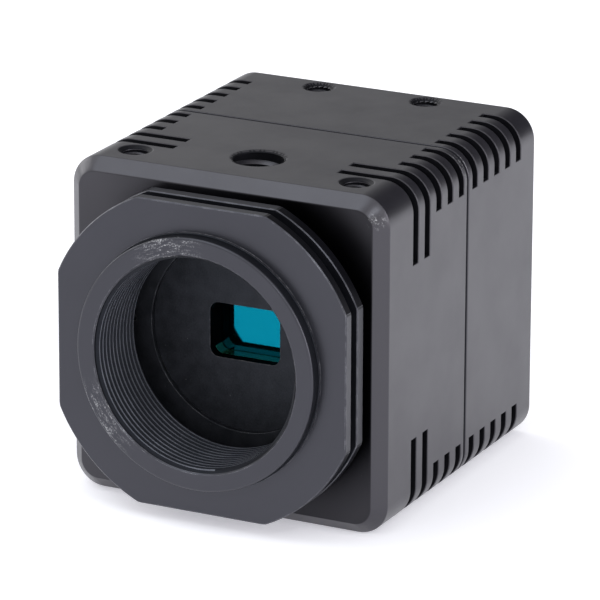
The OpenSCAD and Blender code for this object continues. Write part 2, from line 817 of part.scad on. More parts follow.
module usb_socket_tongue() {
    color("#161618") translate([usb_x, 0, usb_z]) {
        along_y(socket_end - 6.5, 1.6) stadium(usb_w - 0.62, usb_h - 0.62);
        block([-3.35, socket_end - 5, -0.35], [3.35, socket_end - 0.8, 0.35]);
    }
}

module power_socket() {
    color("#161618") difference() {
        union() {
            block([power_x - 3.1, rear_wall_front - 5.6, main_top],
                [power_x + 3.1, rear_wall_front - 0.1, main_top + 2 * power_r]);
            at(power_x, power_z) rod_y(power_r, rear_wall_front - 0.2, rear_wall);
        }
        at(power_x, power_z) rod_y(1.75, rear_wall_front - 4.4, rear_wall + 5);
    }
}

module power_socket_pin() {
    color("#c8cacc") at(power_x, power_z) rod_y(0.5, rear_wall_front - 4.4, 7.4);
}

module status_light() {
    color("#9fd8a0") at(light_x, light_z) {
        rod_y(0.9, rear_wall_front - 0.1, rear_wall);
        block([-0.8, rear_wall_front - 1.3, main_top - light_z],
            [0.8, rear_wall_front - 0.1, 0.8]);
    }
}

front_housing();
rear_housing();
housing_gasket();
lens_adapter();
adapter_o_ring();
lock_ring();
lock_washer();
retaining_ring();
sensor_mask();
window_frame();
filter_glass();
filter_gasket();
sensor_cover_glass();
sensor_die();
sensor_package();
sensor_board();
sensor_board_parts();
chamber_gasket();
standoffs();
cold_finger();
temperature_probe();
insulation_collar();
tec_cold_plate();
tec_pellets();
tec_hot_plate();
tec_leads();
heat_sink();
heat_sink_screws();
fan_frame();
fan_stator();
fan_bearing();
fan_rotor();
fan_magnet();
fan_shaft();
fan_leads();
fan_guard();
fan_screws();
main_board();
main_board_chips();
main_board_headers();
main_board_screws();
flex_cable();
usb_socket_shell();
usb_socket_tongue();
power_socket();
power_socket_pin();
status_light();
tie_screws();
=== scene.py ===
"""Looks of the cooled astronomy camera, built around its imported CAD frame.

Every length in this file is in millimetres until it reaches a mesh, where MM turns it into
metres. The frame is the CAD's own: +Y runs into the camera along the optical axis, +X is to
the right seen from the front and +Z is up.
"""

import logging
import math
from dataclasses import dataclass
from enum import Enum
from typing import Callable, Dict, List, Optional, Sequence, Tuple

import bmesh
import bpy
from mathutils import Matrix, Vector


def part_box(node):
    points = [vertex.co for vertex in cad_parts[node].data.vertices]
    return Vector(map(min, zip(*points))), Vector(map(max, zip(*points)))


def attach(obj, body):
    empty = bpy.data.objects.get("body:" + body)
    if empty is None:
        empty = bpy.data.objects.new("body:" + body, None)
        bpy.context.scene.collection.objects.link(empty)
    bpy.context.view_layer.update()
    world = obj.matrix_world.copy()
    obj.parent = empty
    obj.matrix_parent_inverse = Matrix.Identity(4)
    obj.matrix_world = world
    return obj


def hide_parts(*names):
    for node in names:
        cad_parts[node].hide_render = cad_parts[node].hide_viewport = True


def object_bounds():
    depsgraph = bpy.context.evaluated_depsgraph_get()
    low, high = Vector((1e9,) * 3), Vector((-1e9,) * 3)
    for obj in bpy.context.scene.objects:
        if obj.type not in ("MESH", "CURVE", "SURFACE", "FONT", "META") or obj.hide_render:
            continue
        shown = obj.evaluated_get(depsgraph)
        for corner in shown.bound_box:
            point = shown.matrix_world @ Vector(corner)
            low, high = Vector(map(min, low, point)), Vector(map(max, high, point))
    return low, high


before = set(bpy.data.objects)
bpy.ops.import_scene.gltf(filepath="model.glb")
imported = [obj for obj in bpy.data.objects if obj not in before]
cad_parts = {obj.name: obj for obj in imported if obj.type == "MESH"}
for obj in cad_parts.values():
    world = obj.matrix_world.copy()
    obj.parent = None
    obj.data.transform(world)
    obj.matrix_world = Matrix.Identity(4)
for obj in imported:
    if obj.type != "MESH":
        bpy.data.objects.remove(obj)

CAD_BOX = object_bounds()
MM = 0.001
SMOOTH_BELOW = math.radians(20)

Colour = Tuple[float, float, float]
Point = Tuple[float, float]
Place = Tuple[float, float, float]

log = logging.getLogger("camera")


class Body(Enum):
    """The moving bodies of the frame."""

    HOUSING = "housing"
    ADAPTER = "adapter"
    LOCK_RING = "lock_ring"
    ROTOR = "fan_rotor"


class Texture(Enum):
    """The surface patterns that a finish can carry."""

    BLASTED = "BlastedGrain"
    MILLED = "MilledStreaks"
    TURNED = "TurnedRings"
    MOULDED = "MouldedGrain"
    FOAM = "FoamCells"
    WOUND = "WoundWire"
    TRACES = "BoardTraces"
    CERAMIC = "CeramicGrain"
    CELLS = "SensorCells"


# ---------------------------------------------------------------- shader graphs


class Graph:
    """A short way to add and join nodes in one tree."""

    def __init__(self, tree: bpy.types.NodeTree) -> None:
        """Keeps the tree and clears it.

        Args:
            tree: the node tree to fill.
        """
        self.tree = tree
        tree.nodes.clear()

    def add(self, kind: str, inputs: Optional[Dict[object, object]] = None, **props: object):
        """Adds one node.

        Args:
            kind: the node's type name without its ShaderNode prefix.
            inputs: values or sockets for its inputs, by name or index.
            props: properties to set on the node.

        Returns:
            The new node.
        """
        node = self.tree.nodes.new("ShaderNode" + kind)
        for key, value in props.items():
            setattr(node, key, value)
        for key, value in (inputs or {}).items():
            self.feed(node.inputs[key], value)
        return node

    def feed(self, socket: bpy.types.NodeSocket, value: object) -> None:
        """Sets an input to a value, or links it to a socket.

        Args:
            socket: the input.
            value: a number, a tuple or an output socket.
        """
        if isinstance(value, bpy.types.NodeSocket):
            self.tree.links.new(value, socket)
        else:
            socket.default_value = value

    def math(self, operation: str, *values: object, clamp: bool = False):
        """Adds a Math node and returns its output.

        Args:
            operation: the node's operation.
            values: numbers or sockets, in order.
            clamp: keeps the result between 0 and 1.

        Returns:
            The output socket.
        """
        node = self.add("Math", dict(enumerate(values)), operation=operation, use_clamp=clamp)
        return node.outputs[0]

    def remap(self, value: object, low: float, high: float, to_low: float = 0.0,
              to_high: float = 1.0):
        """Maps one range of a value to another, without going outside it.

        Args:
            value: the value's socket.
            low: start of its range.
            high: end of its range.
            to_low: what the start becomes.
            to_high: what the end becomes.

        Returns:
            The output socket.
        """
        node = self.add("MapRange", {0: value, 1: low, 2: high, 3: to_low, 4: to_high})
        return node.outputs[0]

    def noise(self, vector: object, size: object, detail: float = 2.0, rough: float = 0.5):
        """Adds a Noise texture and returns its value.

        Args:
            vector: where it is read, in millimetres.
            size: the size of its features in millimetres.
            detail: how many octaves.
            rough: how strong the finer octaves are.

        Returns:
            The output socket.
        """
        scale = self.math("DIVIDE", 1.0, size) if isinstance(size, bpy.types.NodeSocket) \
            else 1.0 / size
        node = self.add("TexNoise", {"Vector": vector, "Scale": scale, "Detail": detail,
                                     "Roughness": rough})
        return node.outputs[0]

    def mix(self, amount: object, first: object, second: object):
        """Mixes two colours.

        Args:
            amount: how much of the second.
            first: a colour or its socket.
            second: a colour or its socket.

        Returns:
            The mixed colour's socket.
        """
        node = self.add("Mix", {"Factor": amount, 6: first, 7: second}, data_type="RGBA",
                        blend_type="MIX")
        return node.outputs[2]

    def weigh(self, *terms: Tuple[object, float]):
        """Adds up sockets, each with its weight.

        Args:
            terms: each socket and its weight, in the order that they are added.

        Returns:
            The sum's socket.
        """
        parts = [self.math("MULTIPLY", socket, weight) for socket, weight in terms]
        total = parts[0]
        for part in parts[1:]:
            total = self.math("ADD", total, part)
        return total

    def axis_radius(self, split: Sequence[object]):
        """Measures how far a place is from the optical axis.

        Args:
            split: the place's x, y and z sockets.

        Returns:
            The distance's socket.
        """
        flat = self.add("CombineXYZ", {0: split[0], 2: split[2]}).outputs[0]
        return self.add("VectorMath", {0: flat}, operation="LENGTH").outputs["Value"]

    def millimetres(self):
        """Returns Object coordinates turned into millimetres."""
        coords = self.add("TexCoord").outputs["Object"]
        scale = self.add("VectorMath", {0: coords, "Scale": 1000.0}, operation="SCALE")
        return scale.outputs[0]


def new_material(name: str, inputs: Dict[object, object]) -> Tuple[object, Graph, object]:
    """Starts a material with one Principled shader.

    Args:
        name: the material's name.
        inputs: values for the shader's inputs.

    Returns:
        The material, its graph and its shader.
    """
    made = bpy.data.materials.new(name)
    made.use_nodes = True
    graph = Graph(made.node_tree)
    shader = graph.add("BsdfPrincipled", inputs)
    graph.add("OutputMaterial", {"Surface": shader.outputs[0]})
    return made, graph, shader


def new_group(name: str, inputs: Sequence[Tuple[str, float]],
              outputs: Sequence[str]) -> Tuple[Graph, object, object]:
    """Starts a shader node group with named sockets.

    Args:
        name: the group's name.
        inputs: each input's name and its value when nothing sets it.
        outputs: the output names, all plain values.

    Returns:
        The graph, the group's input node and its output node.
    """
    tree = bpy.data.node_groups.new(name, "ShaderNodeTree")
    graph = Graph(tree)
    for label, value in inputs:
        socket = tree.interface.new_socket(label, in_out="INPUT", socket_type="NodeSocketFloat")
        socket.default_value = value
    for label in outputs:
        tree.interface.new_socket(label, in_out="OUTPUT", socket_type="NodeSocketFloat")
    start = tree.nodes.new("NodeGroupInput")
    end = tree.nodes.new("NodeGroupOutput")
    return graph, start, end


class EffectLibrary:
    """The node groups that the finishes share, each built once when it is first asked for."""

    def __init__(self) -> None:
        """Starts with nothing built."""
        self._built: Dict[str, bpy.types.NodeTree] = {}

    def texture(self, texture: Texture) -> bpy.types.NodeTree:
        """Returns the group for a surface pattern.

        Args:
            texture: which pattern.

        Returns:
            A group with a Size input and Height and Tone outputs.
        """
        makers: Dict[Texture, Callable[[Graph, object, object], Tuple[object, object]]] = {
            Texture.BLASTED: self._blasted,
            Texture.MILLED: self._milled,
            Texture.TURNED: self._turned,
            Texture.MOULDED: self._moulded,
            Texture.FOAM: self._foam,
            Texture.WOUND: self._wound,
            Texture.TRACES: self._traces,
            Texture.CERAMIC: self._ceramic,
            Texture.CELLS: self._cells,
        }
        name = texture.value
        if name not in self._built:
            graph, start, end = new_group(name, [("Size", 0.2)], ["Height", "Tone"])
            place = graph.millimetres()
            height, tone = makers[texture](graph, place, start.outputs["Size"])
            graph.feed(end.inputs["Height"], height)
            graph.feed(end.inputs["Tone"], tone)
            self._built[name] = graph.tree
        return self._built[name]

    def edge_wear(self) -> bpy.types.NodeTree:
        """Returns the group that finds outside edges where the finish is rubbed thin."""
        if "EdgeWear" not in self._built:
            graph, start, end = new_group("EdgeWear", [("Amount", 0.5), ("Patch", 1.5)], ["Mask"])
            place = graph.millimetres()
            rounded = graph.add("Bevel", {"Radius": 0.00016}, samples=6)
            true_normal = graph.add("NewGeometry").outputs["Normal"]
            agree = graph.add("VectorMath", {0: rounded.outputs[0], 1: true_normal},
                              operation="DOT_PRODUCT").outputs["Value"]
            edge = graph.remap(agree, 0.995, 0.90)
            patches = graph.noise(place, start.outputs["Patch"], 4.0, 0.65)
            spots = graph.remap(patches, 0.42, 0.62)
            fine = graph.remap(graph.noise(place, 0.09, 1.0), 0.35, 0.6)
            mask = graph.math("MULTIPLY", graph.math("MULTIPLY", edge, spots), fine)
            mask = graph.math("MULTIPLY", mask, start.outputs["Amount"], clamp=True)
            graph.feed(end.inputs["Mask"], mask)
            self._built["EdgeWear"] = graph.tree
        return self._built["EdgeWear"]

    def handling(self) -> bpy.types.NodeTree:
        """Returns the group of faint smudges and dust that change how dull a surface is."""
        if "Handling" not in self._built:
            graph, start, end = new_group("Handling", [("Spread", 6.0)], ["Smudge", "Dust"])
            place = graph.millimetres()
            broad = graph.noise(place, start.outputs["Spread"], 3.0, 0.6)
            graph.feed(end.inputs["Smudge"], graph.remap(broad, 0.35, 0.7))
            cells = graph.add("TexVoronoi", {"Vector": place, "Scale": 1.1, "Randomness": 1.0})
            speck = graph.remap(cells.outputs["Distance"], 0.055, 0.02)
            thin = graph.remap(graph.noise(place, 2.4, 1.0), 0.5, 0.62)
            graph.feed(end.inputs["Dust"], graph.math("MULTIPLY", speck, thin))
            self._built["Handling"] = graph.tree
        return self._built["Handling"]

    def ring_shade(self) -> bpy.types.NodeTree:
        """Returns the group of painted shade: the lock ring's shadow painted on the front face,
        darkest next to the ring and towards the right and the top.
        """
        if "RingShade" not in self._built:
            graph, start, end = new_group(
                "RingShade", [("Face", 7.4), ("Ring", 20.2), ("Open", 24.4)], ["Mask"])
            split = graph.add("SeparateXYZ", {0: graph.millimetres()}).outputs
            radius = graph.axis_radius(split)
            far = graph.math("SUBTRACT", start.outputs["Open"], radius)
            span = graph.math("SUBTRACT", start.outputs["Open"], start.outputs["Ring"])
            near = graph.remap(graph.math("DIVIDE", far, span), 0.0, 1.0, 0.62, 1.0)
            past = graph.math("SUBTRACT", split[1], start.outputs["Face"])
            on_face = graph.remap(past, 0.03, 0.10, 1.0, 0.0)
            lean = graph.math("ADD", split[0], graph.math("MULTIPLY", split[2], 0.35))
            side = graph.remap(lean, -10.0, 16.0, 0.25, 0.95)
            mask = graph.math("MULTIPLY", graph.math("MULTIPLY", near, on_face), side)
            graph.feed(end.inputs["Mask"], mask)
            self._built["RingShade"] = graph.tree
        return self._built["RingShade"]

    def rub_marks_and_glints(self) -> bpy.types.NodeTree:
        """Returns the group of bright specks, used both for rub marks where the finish has been
        rubbed in use and for painted highlights on corners.
        """
        if "RubMarksAndGlints" not in self._built:
            graph, start, end = new_group("RubMarksAndGlints", [("X", 0.0), ("Y", 0.0), ("Z", 0.0),
                                                       ("Reach", 5.0), ("Deep", 0.3)], ["Mask"])
            place = graph.millimetres()
            centre = graph.add("CombineXYZ", {0: start.outputs["X"], 1: start.outputs["Y"],
                                              2: start.outputs["Z"]})
            away = graph.add("VectorMath", {0: place, 1: centre.outputs[0]}, operation="DISTANCE")
            near = graph.math("DIVIDE", away.outputs["Value"], start.outputs["Reach"])
            split = graph.add("SeparateXYZ", {0: place}).outputs
            front = graph.math("LESS_THAN", split[1], start.outputs["Deep"])
            patch = graph.math("MULTIPLY", graph.remap(near, 1.0, 0.25), front)
            radius = graph.axis_radius(split)
            turn_by = graph.math("ARCTAN2", split[2], split[0])
            around = graph.math("MULTIPLY", turn_by, 4.2)
            streak = graph.add("CombineXYZ", {0: around, 1: graph.math("MULTIPLY", radius, 1.4),
                                              2: split[1]}).outputs[0]
            drag = graph.noise(streak, 0.50, 3.0, 0.65)
            grit = graph.noise(place, 0.20, 3.0, 0.7)
            specks = graph.math("MULTIPLY", graph.remap(grit, 0.46, 0.64),
                                graph.remap(drag, 0.48, 0.60))
            graph.feed(end.inputs["Mask"], graph.math("MULTIPLY", specks, patch, clamp=True))
            self._built["RubMarksAndGlints"] = graph.tree
        return self._built["RubMarksAndGlints"]

    def _blasted(self, graph: Graph, place: object, size: object) -> Tuple[object, object]:
        """Fine isotropic grain with a slow change of tone."""
        fine = graph.noise(place, size, 3.0, 0.7)
        slow = graph.noise(place, 3.5, 3.0, 0.6)
        return fine, graph.weigh((fine, 0.45), (slow, 0.55))

    def _milled(self, graph: Graph, place: object, size: object) -> Tuple[object, object]:
        """Fine grain over faint bands that cross the body, as a cutter leaves them."""
        fine = graph.noise(place, size, 3.0, 0.7)
        across = graph.add("VectorMath", {0: place, 1: (0.002, 1.0, 0.002)},
                           operation="MULTIPLY").outputs[0]
        bands = graph.noise(across, 1.3, 2.0, 0.5)
        slow = graph.noise(place, 7.0, 2.0, 0.5)
        return fine, graph.weigh((bands, 0.22), (slow, 0.30), (fine, 0.48))

    def _turned(self, graph: Graph, place: object, size: object) -> Tuple[object, object]:
        """Concentric tool marks about the optical axis, under a fine grain."""
        split = graph.add("SeparateXYZ", {0: place}).outputs
        ring = graph.add("CombineXYZ", {0: graph.axis_radius(split), 1: split[1]}).outputs[0]
        marks = graph.noise(ring, 0.16, 3.0, 0.6)
        fine = graph.noise(place, size, 3.0, 0.7)
        slow = graph.noise(place, 4.0, 2.0, 0.5)
        tone = graph.weigh((marks, 0.35), (slow, 0.4), (fine, 0.25))
        return graph.weigh((fine, 0.7), (marks, 0.3)), tone

    def _moulded(self, graph: Graph, place: object, size: object) -> Tuple[object, object]:
        """The shallow pebbled skin of moulded plastic and rubber."""
        cells = graph.add("TexVoronoi", {"Vector": place, "Scale": graph.math("DIVIDE", 1.0, size)})
        slow = graph.noise(place, 2.5, 2.0, 0.5)
        return cells.outputs["Distance"], slow

    def _foam(self, graph: Graph, place: object, size: object) -> Tuple[object, object]:
        """Open cells of foam."""
        cells = graph.add("TexVoronoi", {"Vector": place, "Scale": graph.math("DIVIDE", 1.0, size)},
                          feature="DISTANCE_TO_EDGE")
        walls = graph.remap(cells.outputs["Distance"], 0.0, 0.3, 1.0, 0.0)
        return walls, walls

    def _wound(self, graph: Graph, place: object, size: object) -> Tuple[object, object]:
        """Turns of fine wire."""
        wave = graph.add("TexWave", {"Vector": place, "Scale": graph.math("DIVIDE", 0.314, size),
                                     "Distortion": 0.6}, bands_direction="Y")
        slow = graph.noise(place, 1.2, 2.0, 0.5)
        return wave.outputs["Fac"], slow

    def _traces(self, graph: Graph, place: object, size: object) -> Tuple[object, object]:
        """Copper runs and round vias under solder mask."""
        warp = graph.add("TexVoronoi", {"Vector": place, "Scale": 0.28}, distance="CHEBYCHEV")
        step = graph.math("DIVIDE", warp.outputs["Distance"], size)
        runs = graph.math("PINGPONG", step, 0.05)
        runs = graph.remap(runs, 0.018, 0.026)
        vias = graph.add("TexVoronoi", {"Vector": place, "Scale": 0.7, "Randomness": 0.7})
        dots = graph.remap(vias.outputs["Distance"], 0.2, 0.16)
        both = graph.math("MAXIMUM", runs, dots)
        return both, both

    def _ceramic(self, graph: Graph, place: object, size: object) -> Tuple[object, object]:
        """The fine speckle of fired ceramic and cast metal."""
        fine = graph.noise(place, size, 4.0, 0.75)
        slow = graph.noise(place, 1.8, 2.0, 0.5)
        return fine, graph.weigh((fine, 0.5), (slow, 0.5))

    def _cells(self, graph: Graph, place: object, size: object) -> Tuple[object, object]:
        """The regular cells of the image sensor, inside a plain border."""
        split = graph.add("SeparateXYZ", {0: place}).outputs
        grid_x = graph.math("PINGPONG", split[0], size)
        grid_z = graph.math("PINGPONG", split[2], size)
        cells = graph.math("MULTIPLY", grid_x, grid_z)
        wide = graph.remap(graph.math("ABSOLUTE", split[0]), 3.55, 3.6, 1.0, 0.0)
        tall = graph.remap(graph.math("ABSOLUTE", split[2]), 2.65, 2.7, 1.0, 0.0)
        return cells, graph.math("MULTIPLY", wide, tall)


EFFECTS = EffectLibrary()
# Tone of the shade that is painted on the front face by the lock ring.
SHADE_TONE = (0.003, 0.003, 0.004, 1.0)
# Tone of the rub marks and of the painted highlights.
RUB_AND_GLINT_TONE = (0.42, 0.42, 0.43, 1.0)
DUST_TONE = (0.35, 0.34, 0.33, 1.0)
GLASS_DUST = (0.3, 0.3, 0.3, 1.0)
GLASS_SMEAR = 3.0
SMUDGE_SPREAD = 0.035


@dataclass(frozen=True)
class SurfaceFinish:
    """An opaque surface: its two tones, its pattern and how it has been used.

    Attributes:
        slot: the record's material slot.
        dark: the darker tone of its pattern.
        light: the lighter tone of its pattern.
        roughness: how dull it is.
        texture: its pattern.
        grain: the pattern's size.
        relief: how high the pattern stands.
        metallic: 1 for bare metal.
        worn: the tone of rubbed edges.
        wear: how much of the edges is rubbed.
        dust: how much dust lies on it.
        rubs_and_glints: bright patches, each x, y, z, reach and how far back it can show: rub marks
            on the adapter, painted highlights on the shell.
        coat: weight of a clear coat.
        tint: the colour of its reflections.
        ior: how strongly it reflects.
        ring_shade: paints the lock ring's shade onto the front face close to the ring.
        suffix: tells finishes of one slot apart.
    """

    slot: str
    dark: Colour
    light: Colour
    roughness: float
    texture: Texture = Texture.BLASTED
    grain: float = 0.16
    relief: float = 0.004
    metallic: float = 0.0
    worn: Colour = (0.16, 0.16, 0.17)
    wear: float = 0.0
    dust: float = 0.0
    rubs_and_glints: Tuple[Tuple[float, ...], ...] = ()
    coat: float = 0.0
    tint: Colour = (1.0, 1.0, 1.0)
    ior: float = 1.5
    ring_shade: bool = False
    suffix: str = ""

    def material(self) -> bpy.types.Material:
        """Builds the finish, or returns it if it is there already.

        Returns:
            The material.
        """
        name = self.slot + self.suffix
        if name in MATERIALS:
            return MATERIALS[name]
        made, graph, shader = new_material(name, {
            "Metallic": self.metallic, "Coat Weight": self.coat, "Coat Roughness": 0.15,
            "Specular Tint": self.tint + (1.0,), "IOR": self.ior})
        pattern = graph.add("Group", node_tree=EFFECTS.texture(self.texture))
        pattern.inputs["Size"].default_value = self.grain
        tone = graph.remap(pattern.outputs["Tone"], 0.3, 0.7)
        colour = graph.mix(tone, self.dark + (1.0,), self.light + (1.0,))
        # Painted shade of the lock ring: the mask mixes in a near-black tone and also turns the
        # face metallic, darkening it further.
        if self.ring_shade:
            near = graph.add("Group", node_tree=EFFECTS.ring_shade())
            colour = graph.mix(near.outputs["Mask"], colour, SHADE_TONE)
            graph.feed(shader.inputs["Metallic"], near.outputs["Mask"])
        handling = graph.add("Group", node_tree=EFFECTS.handling())
        dull = graph.remap(handling.outputs["Smudge"], 0.0, 1.0, self.roughness - SMUDGE_SPREAD,
                           self.roughness + SMUDGE_SPREAD)
        if self.wear > 0.0:
            edges = graph.add("Group", node_tree=EFFECTS.edge_wear())
            edges.inputs["Amount"].default_value = self.wear
            colour = graph.mix(edges.outputs["Mask"], colour, self.worn + (1.0,))
        # Bright patches: rub marks, and painted highlights where the finish places them on a
        # corner.
        for patch in self.rubs_and_glints:
            rub_and_glint = graph.add("Group", node_tree=EFFECTS.rub_marks_and_glints())
            for key, value in zip(("X", "Y", "Z", "Reach", "Deep"), patch):
                rub_and_glint.inputs[key].default_value = value
            colour = graph.mix(rub_and_glint.outputs["Mask"], colour, RUB_AND_GLINT_TONE)
        if self.dust > 0.0:
            amount = graph.math("MULTIPLY", handling.outputs["Dust"], self.dust)
            colour = graph.mix(amount, colour, DUST_TONE)
        graph.feed(shader.inputs["Base Color"], colour)
        graph.feed(shader.inputs["Roughness"], dull)
        bump = graph.add("Bump", {"Height": pattern.outputs["Height"], "Strength": 1.0,
                                  "Distance": self.relief * MM})
        graph.feed(shader.inputs["Normal"], bump.outputs[0])
        made.diffuse_color = self.light + (1.0,)
        MATERIALS[name] = made
        return made


@dataclass(frozen=True)
class GlassFinish:
    """A clear or coated glass.

    Attributes:
        slot: the record's material slot.
        tint: the colour that passes.
        mirror: the colour that its coating reflects.
        ior: how strongly it reflects and bends light.
        roughness: how dull its polish is.
    """

    slot: str
    tint: Colour
    mirror: Colour
    ior: float
    roughness: float = 0.02

    def material(self) -> bpy.types.Material:
        """Builds the glass, or returns it if it is there already.

        Returns:
            The material.
        """
        if self.slot in MATERIALS:
            return MATERIALS[self.slot]
        made, graph, shader = new_material(self.slot, {
            "Transmission Weight": 1.0, "IOR": self.ior,
            "Specular Tint": self.mirror + (1.0,), "Metallic": 0.0})
        handling = graph.add("Group", node_tree=EFFECTS.handling())
        handling.inputs["Spread"].default_value = GLASS_SMEAR
        dull = graph.remap(handling.outputs["Smudge"], 0.0, 1.0, self.roughness * 0.6,
                           self.roughness * 1.6)
        graph.feed(shader.inputs["Roughness"], dull)
        colour = graph.mix(handling.outputs["Dust"], self.tint + (1.0,), GLASS_DUST)
        graph.feed(shader.inputs["Base Color"], colour)
        MATERIALS[self.slot] = made
        return made


MATERIALS: Dict[str, bpy.types.Material] = {}

# The shell's two bright patches are painted highlights: on the front chamfer's top right corner and
# where the seam meets the top right edge.
SHELL = SurfaceFinish("anodised_shell", (0.0110, 0.0104, 0.0140), (0.0150, 0.0142, 0.0185), 0.33,
                      Texture.MILLED, 0.13, 0.004, wear=0.6, dust=0.10,
                      tint=(0.95, 0.93, 1.0), ring_shade=True, ior=1.68,
                      rubs_and_glints=((18.7, 8.2, 17.4, 1.25, 9.6), (19.0, 29.5, 18.6, 1.8, 29.8)))
# Painted shade: a near-black copy of the shell finish for the slots, the seam, the hole rims and
# the cavity.
SHELL_PAINTED_SHADE = SurfaceFinish("anodised_shell", (0.0020, 0.0020, 0.0026),
                             (0.0050, 0.0050, 0.0064), 0.55, Texture.CERAMIC, 0.13, 0.0025,
                             tint=(0.25, 0.25, 0.30), suffix="_painted_shade_inside")
ADAPTER = SurfaceFinish("anodised_adapter", (0.0100, 0.0102, 0.0132), (0.0140, 0.0143, 0.0180),
                        0.33, Texture.TURNED, 0.14, 0.009, wear=1.0, dust=0.10,
                        worn=(0.30, 0.30, 0.32), tint=(0.88, 0.88, 1.0), ior=1.61,
                        rubs_and_glints=((-3.6, 0.0, 13.9, 5.0, 0.3), (-12.2, 0.0, -8.6, 5.5, 0.3)))
# Painted shade: a near-black copy of the adapter finish for the thread roots, the collar's side
# wall, the barrel behind the flange and the lock ring's front face.
PAINTED_SHADE_FLANKS = SurfaceFinish("anodised_adapter", (0.0030, 0.0032, 0.0042),
                              (0.0100, 0.0105, 0.0135), 0.42, Texture.TURNED, 0.20, 0.004,
                              tint=(0.30, 0.33, 0.40), suffix="_painted_shade_flanks")
# Painted shade: a near-black copy of the adapter finish for the round parts of the flange's and the
# lock ring's rims.
PAINTED_SHADE_RIMS = SurfaceFinish("anodised_adapter", (0.0025, 0.0025, 0.0034),
                           (0.0050, 0.0050, 0.0066), 0.36, Texture.TURNED, 0.14, 0.004,
                           tint=(0.25, 0.26, 0.32), suffix="_painted_shade_rims")
# Painted highlight: a light copy of the adapter finish for the crests of the lens thread.
PAINTED_HIGHLIGHT_CRESTS = SurfaceFinish("anodised_adapter", (0.090, 0.094, 0.112), (0.240, 0.250, 0.290),
                              0.32, Texture.TURNED, 0.25, 0.004, tint=(0.90, 0.93, 1.0),
                              suffix="_painted_highlight_crests")
BLACKENED = SurfaceFinish("blackened_metal", (0.001, 0.0012, 0.0018), (0.022, 0.023, 0.028),
                          0.50, Texture.CERAMIC, 0.24, 0.026, wear=0.9, dust=0.6,
                          worn=(0.34, 0.34, 0.35), tint=(0.80, 0.86, 1.0), ior=1.44)
GLOSS_FRAME = SurfaceFinish("gloss_frame", (0.0010, 0.0010, 0.0011), (0.0020, 0.0020, 0.0022),
                            0.60, Texture.MOULDED, 0.20, 0.0005, tint=(0.10, 0.10, 0.10),
                            ior=1.06)
# Painted reflection: the green light of the glass coating painted on the frame's inner floor,
# brighter on the floor's sloped bevels.
FRAME_FLOOR_PAINTED_REFLECTION = SurfaceFinish("gloss_frame", (0.010, 0.050, 0.030), (0.020, 0.110, 0.060),
                            0.12, Texture.MOULDED, 0.20, 0.0005, tint=(0.7, 1.0, 0.8),
                            suffix="_floor")
FRAME_LIP_PAINTED_REFLECTION = SurfaceFinish("gloss_frame", (0.06, 0.42, 0.20), (0.10, 0.60, 0.30),
                          0.30, Texture.MOULDED, 0.20, 0.0005, tint=(0.7, 1.0, 0.8),
                          suffix="_lip_painted_reflection")
GUARD = SurfaceFinish("guard_metal", (0.024, 0.0235, 0.026), (0.033, 0.0325, 0.036), 0.40,
                      Texture.BLASTED, 0.14, 0.004, wear=0.8)
RUBBER = SurfaceFinish("black_rubber", (0.010, 0.010, 0.011), (0.017, 0.017, 0.018), 0.72,
                       Texture.MOULDED, 0.10, 0.003)
POLYMER = SurfaceFinish("white_polymer", (0.62, 0.60, 0.55), (0.72, 0.70, 0.65), 0.38,
                        Texture.MOULDED, 0.12, 0.002)
COATED = GlassFinish("coated_glass", (0.04, 0.16, 0.17), (0.0, 0.57, 0.83), 3.1, 0.02)
CLEAR = GlassFinish("clear_glass", (0.92, 0.96, 0.94), (0.25, 1.0, 0.55), 1.9, 0.02)
SILICON = SurfaceFinish("silicon", (0.030, 0.034, 0.040), (0.055, 0.035, 0.075), 0.16,
                        Texture.CELLS, 0.03, 0.0005, metallic=0.8)
PACKAGE = SurfaceFinish("package_ceramic", (0.10, 0.085, 0.065), (0.14, 0.12, 0.095), 0.62,
                        Texture.CERAMIC, 0.12, 0.003)
BOARD = SurfaceFinish("circuit_board", (0.008, 0.040, 0.018), (0.020, 0.085, 0.040), 0.30,
                      Texture.TRACES, 1.6, 0.02, coat=0.3)
CHIP = SurfaceFinish("chip_plastic", (0.012, 0.012, 0.013), (0.020, 0.020, 0.021), 0.55,
                     Texture.BLASTED, 0.08, 0.003)
BRASS = SurfaceFinish("brass", (0.55, 0.38, 0.13), (0.66, 0.47, 0.18), 0.28, Texture.CERAMIC,
                      0.25, 0.002, metallic=1.0)
COPPER = SurfaceFinish("copper", (0.50, 0.20, 0.10), (0.68, 0.30, 0.16), 0.34, Texture.WOUND,
                       0.12, 0.02, metallic=1.0)
WHITE_CERAMIC = SurfaceFinish("white_ceramic", (0.70, 0.69, 0.66), (0.80, 0.79, 0.76), 0.45,
                              Texture.CERAMIC, 0.10, 0.002)
PELLET = SurfaceFinish("pellet_metal", (0.22, 0.22, 0.24), (0.34, 0.34, 0.36), 0.42,
                       Texture.CERAMIC, 0.10, 0.003, metallic=0.9)
INSULATION = SurfaceFinish("lead_insulation", (0.30, 0.020, 0.014), (0.42, 0.030, 0.020), 0.42,
                           Texture.MOULDED, 0.20, 0.002)
SINK = SurfaceFinish("heat_sink_metal", (0.42, 0.42, 0.43), (0.56, 0.56, 0.57), 0.40,
                     Texture.MILLED, 0.12, 0.004, metallic=1.0)
SCREW = SurfaceFinish("screw_steel", (0.020, 0.020, 0.022), (0.034, 0.034, 0.037), 0.34,
                      Texture.BLASTED, 0.10, 0.002, metallic=0.4, wear=0.9,
                      worn=(0.30, 0.30, 0.31))
FAN_PLASTIC = SurfaceFinish("fan_plastic", (0.012, 0.012, 0.013), (0.019, 0.019, 0.020), 0.42,
                            Texture.MOULDED, 0.14, 0.002, dust=0.3)
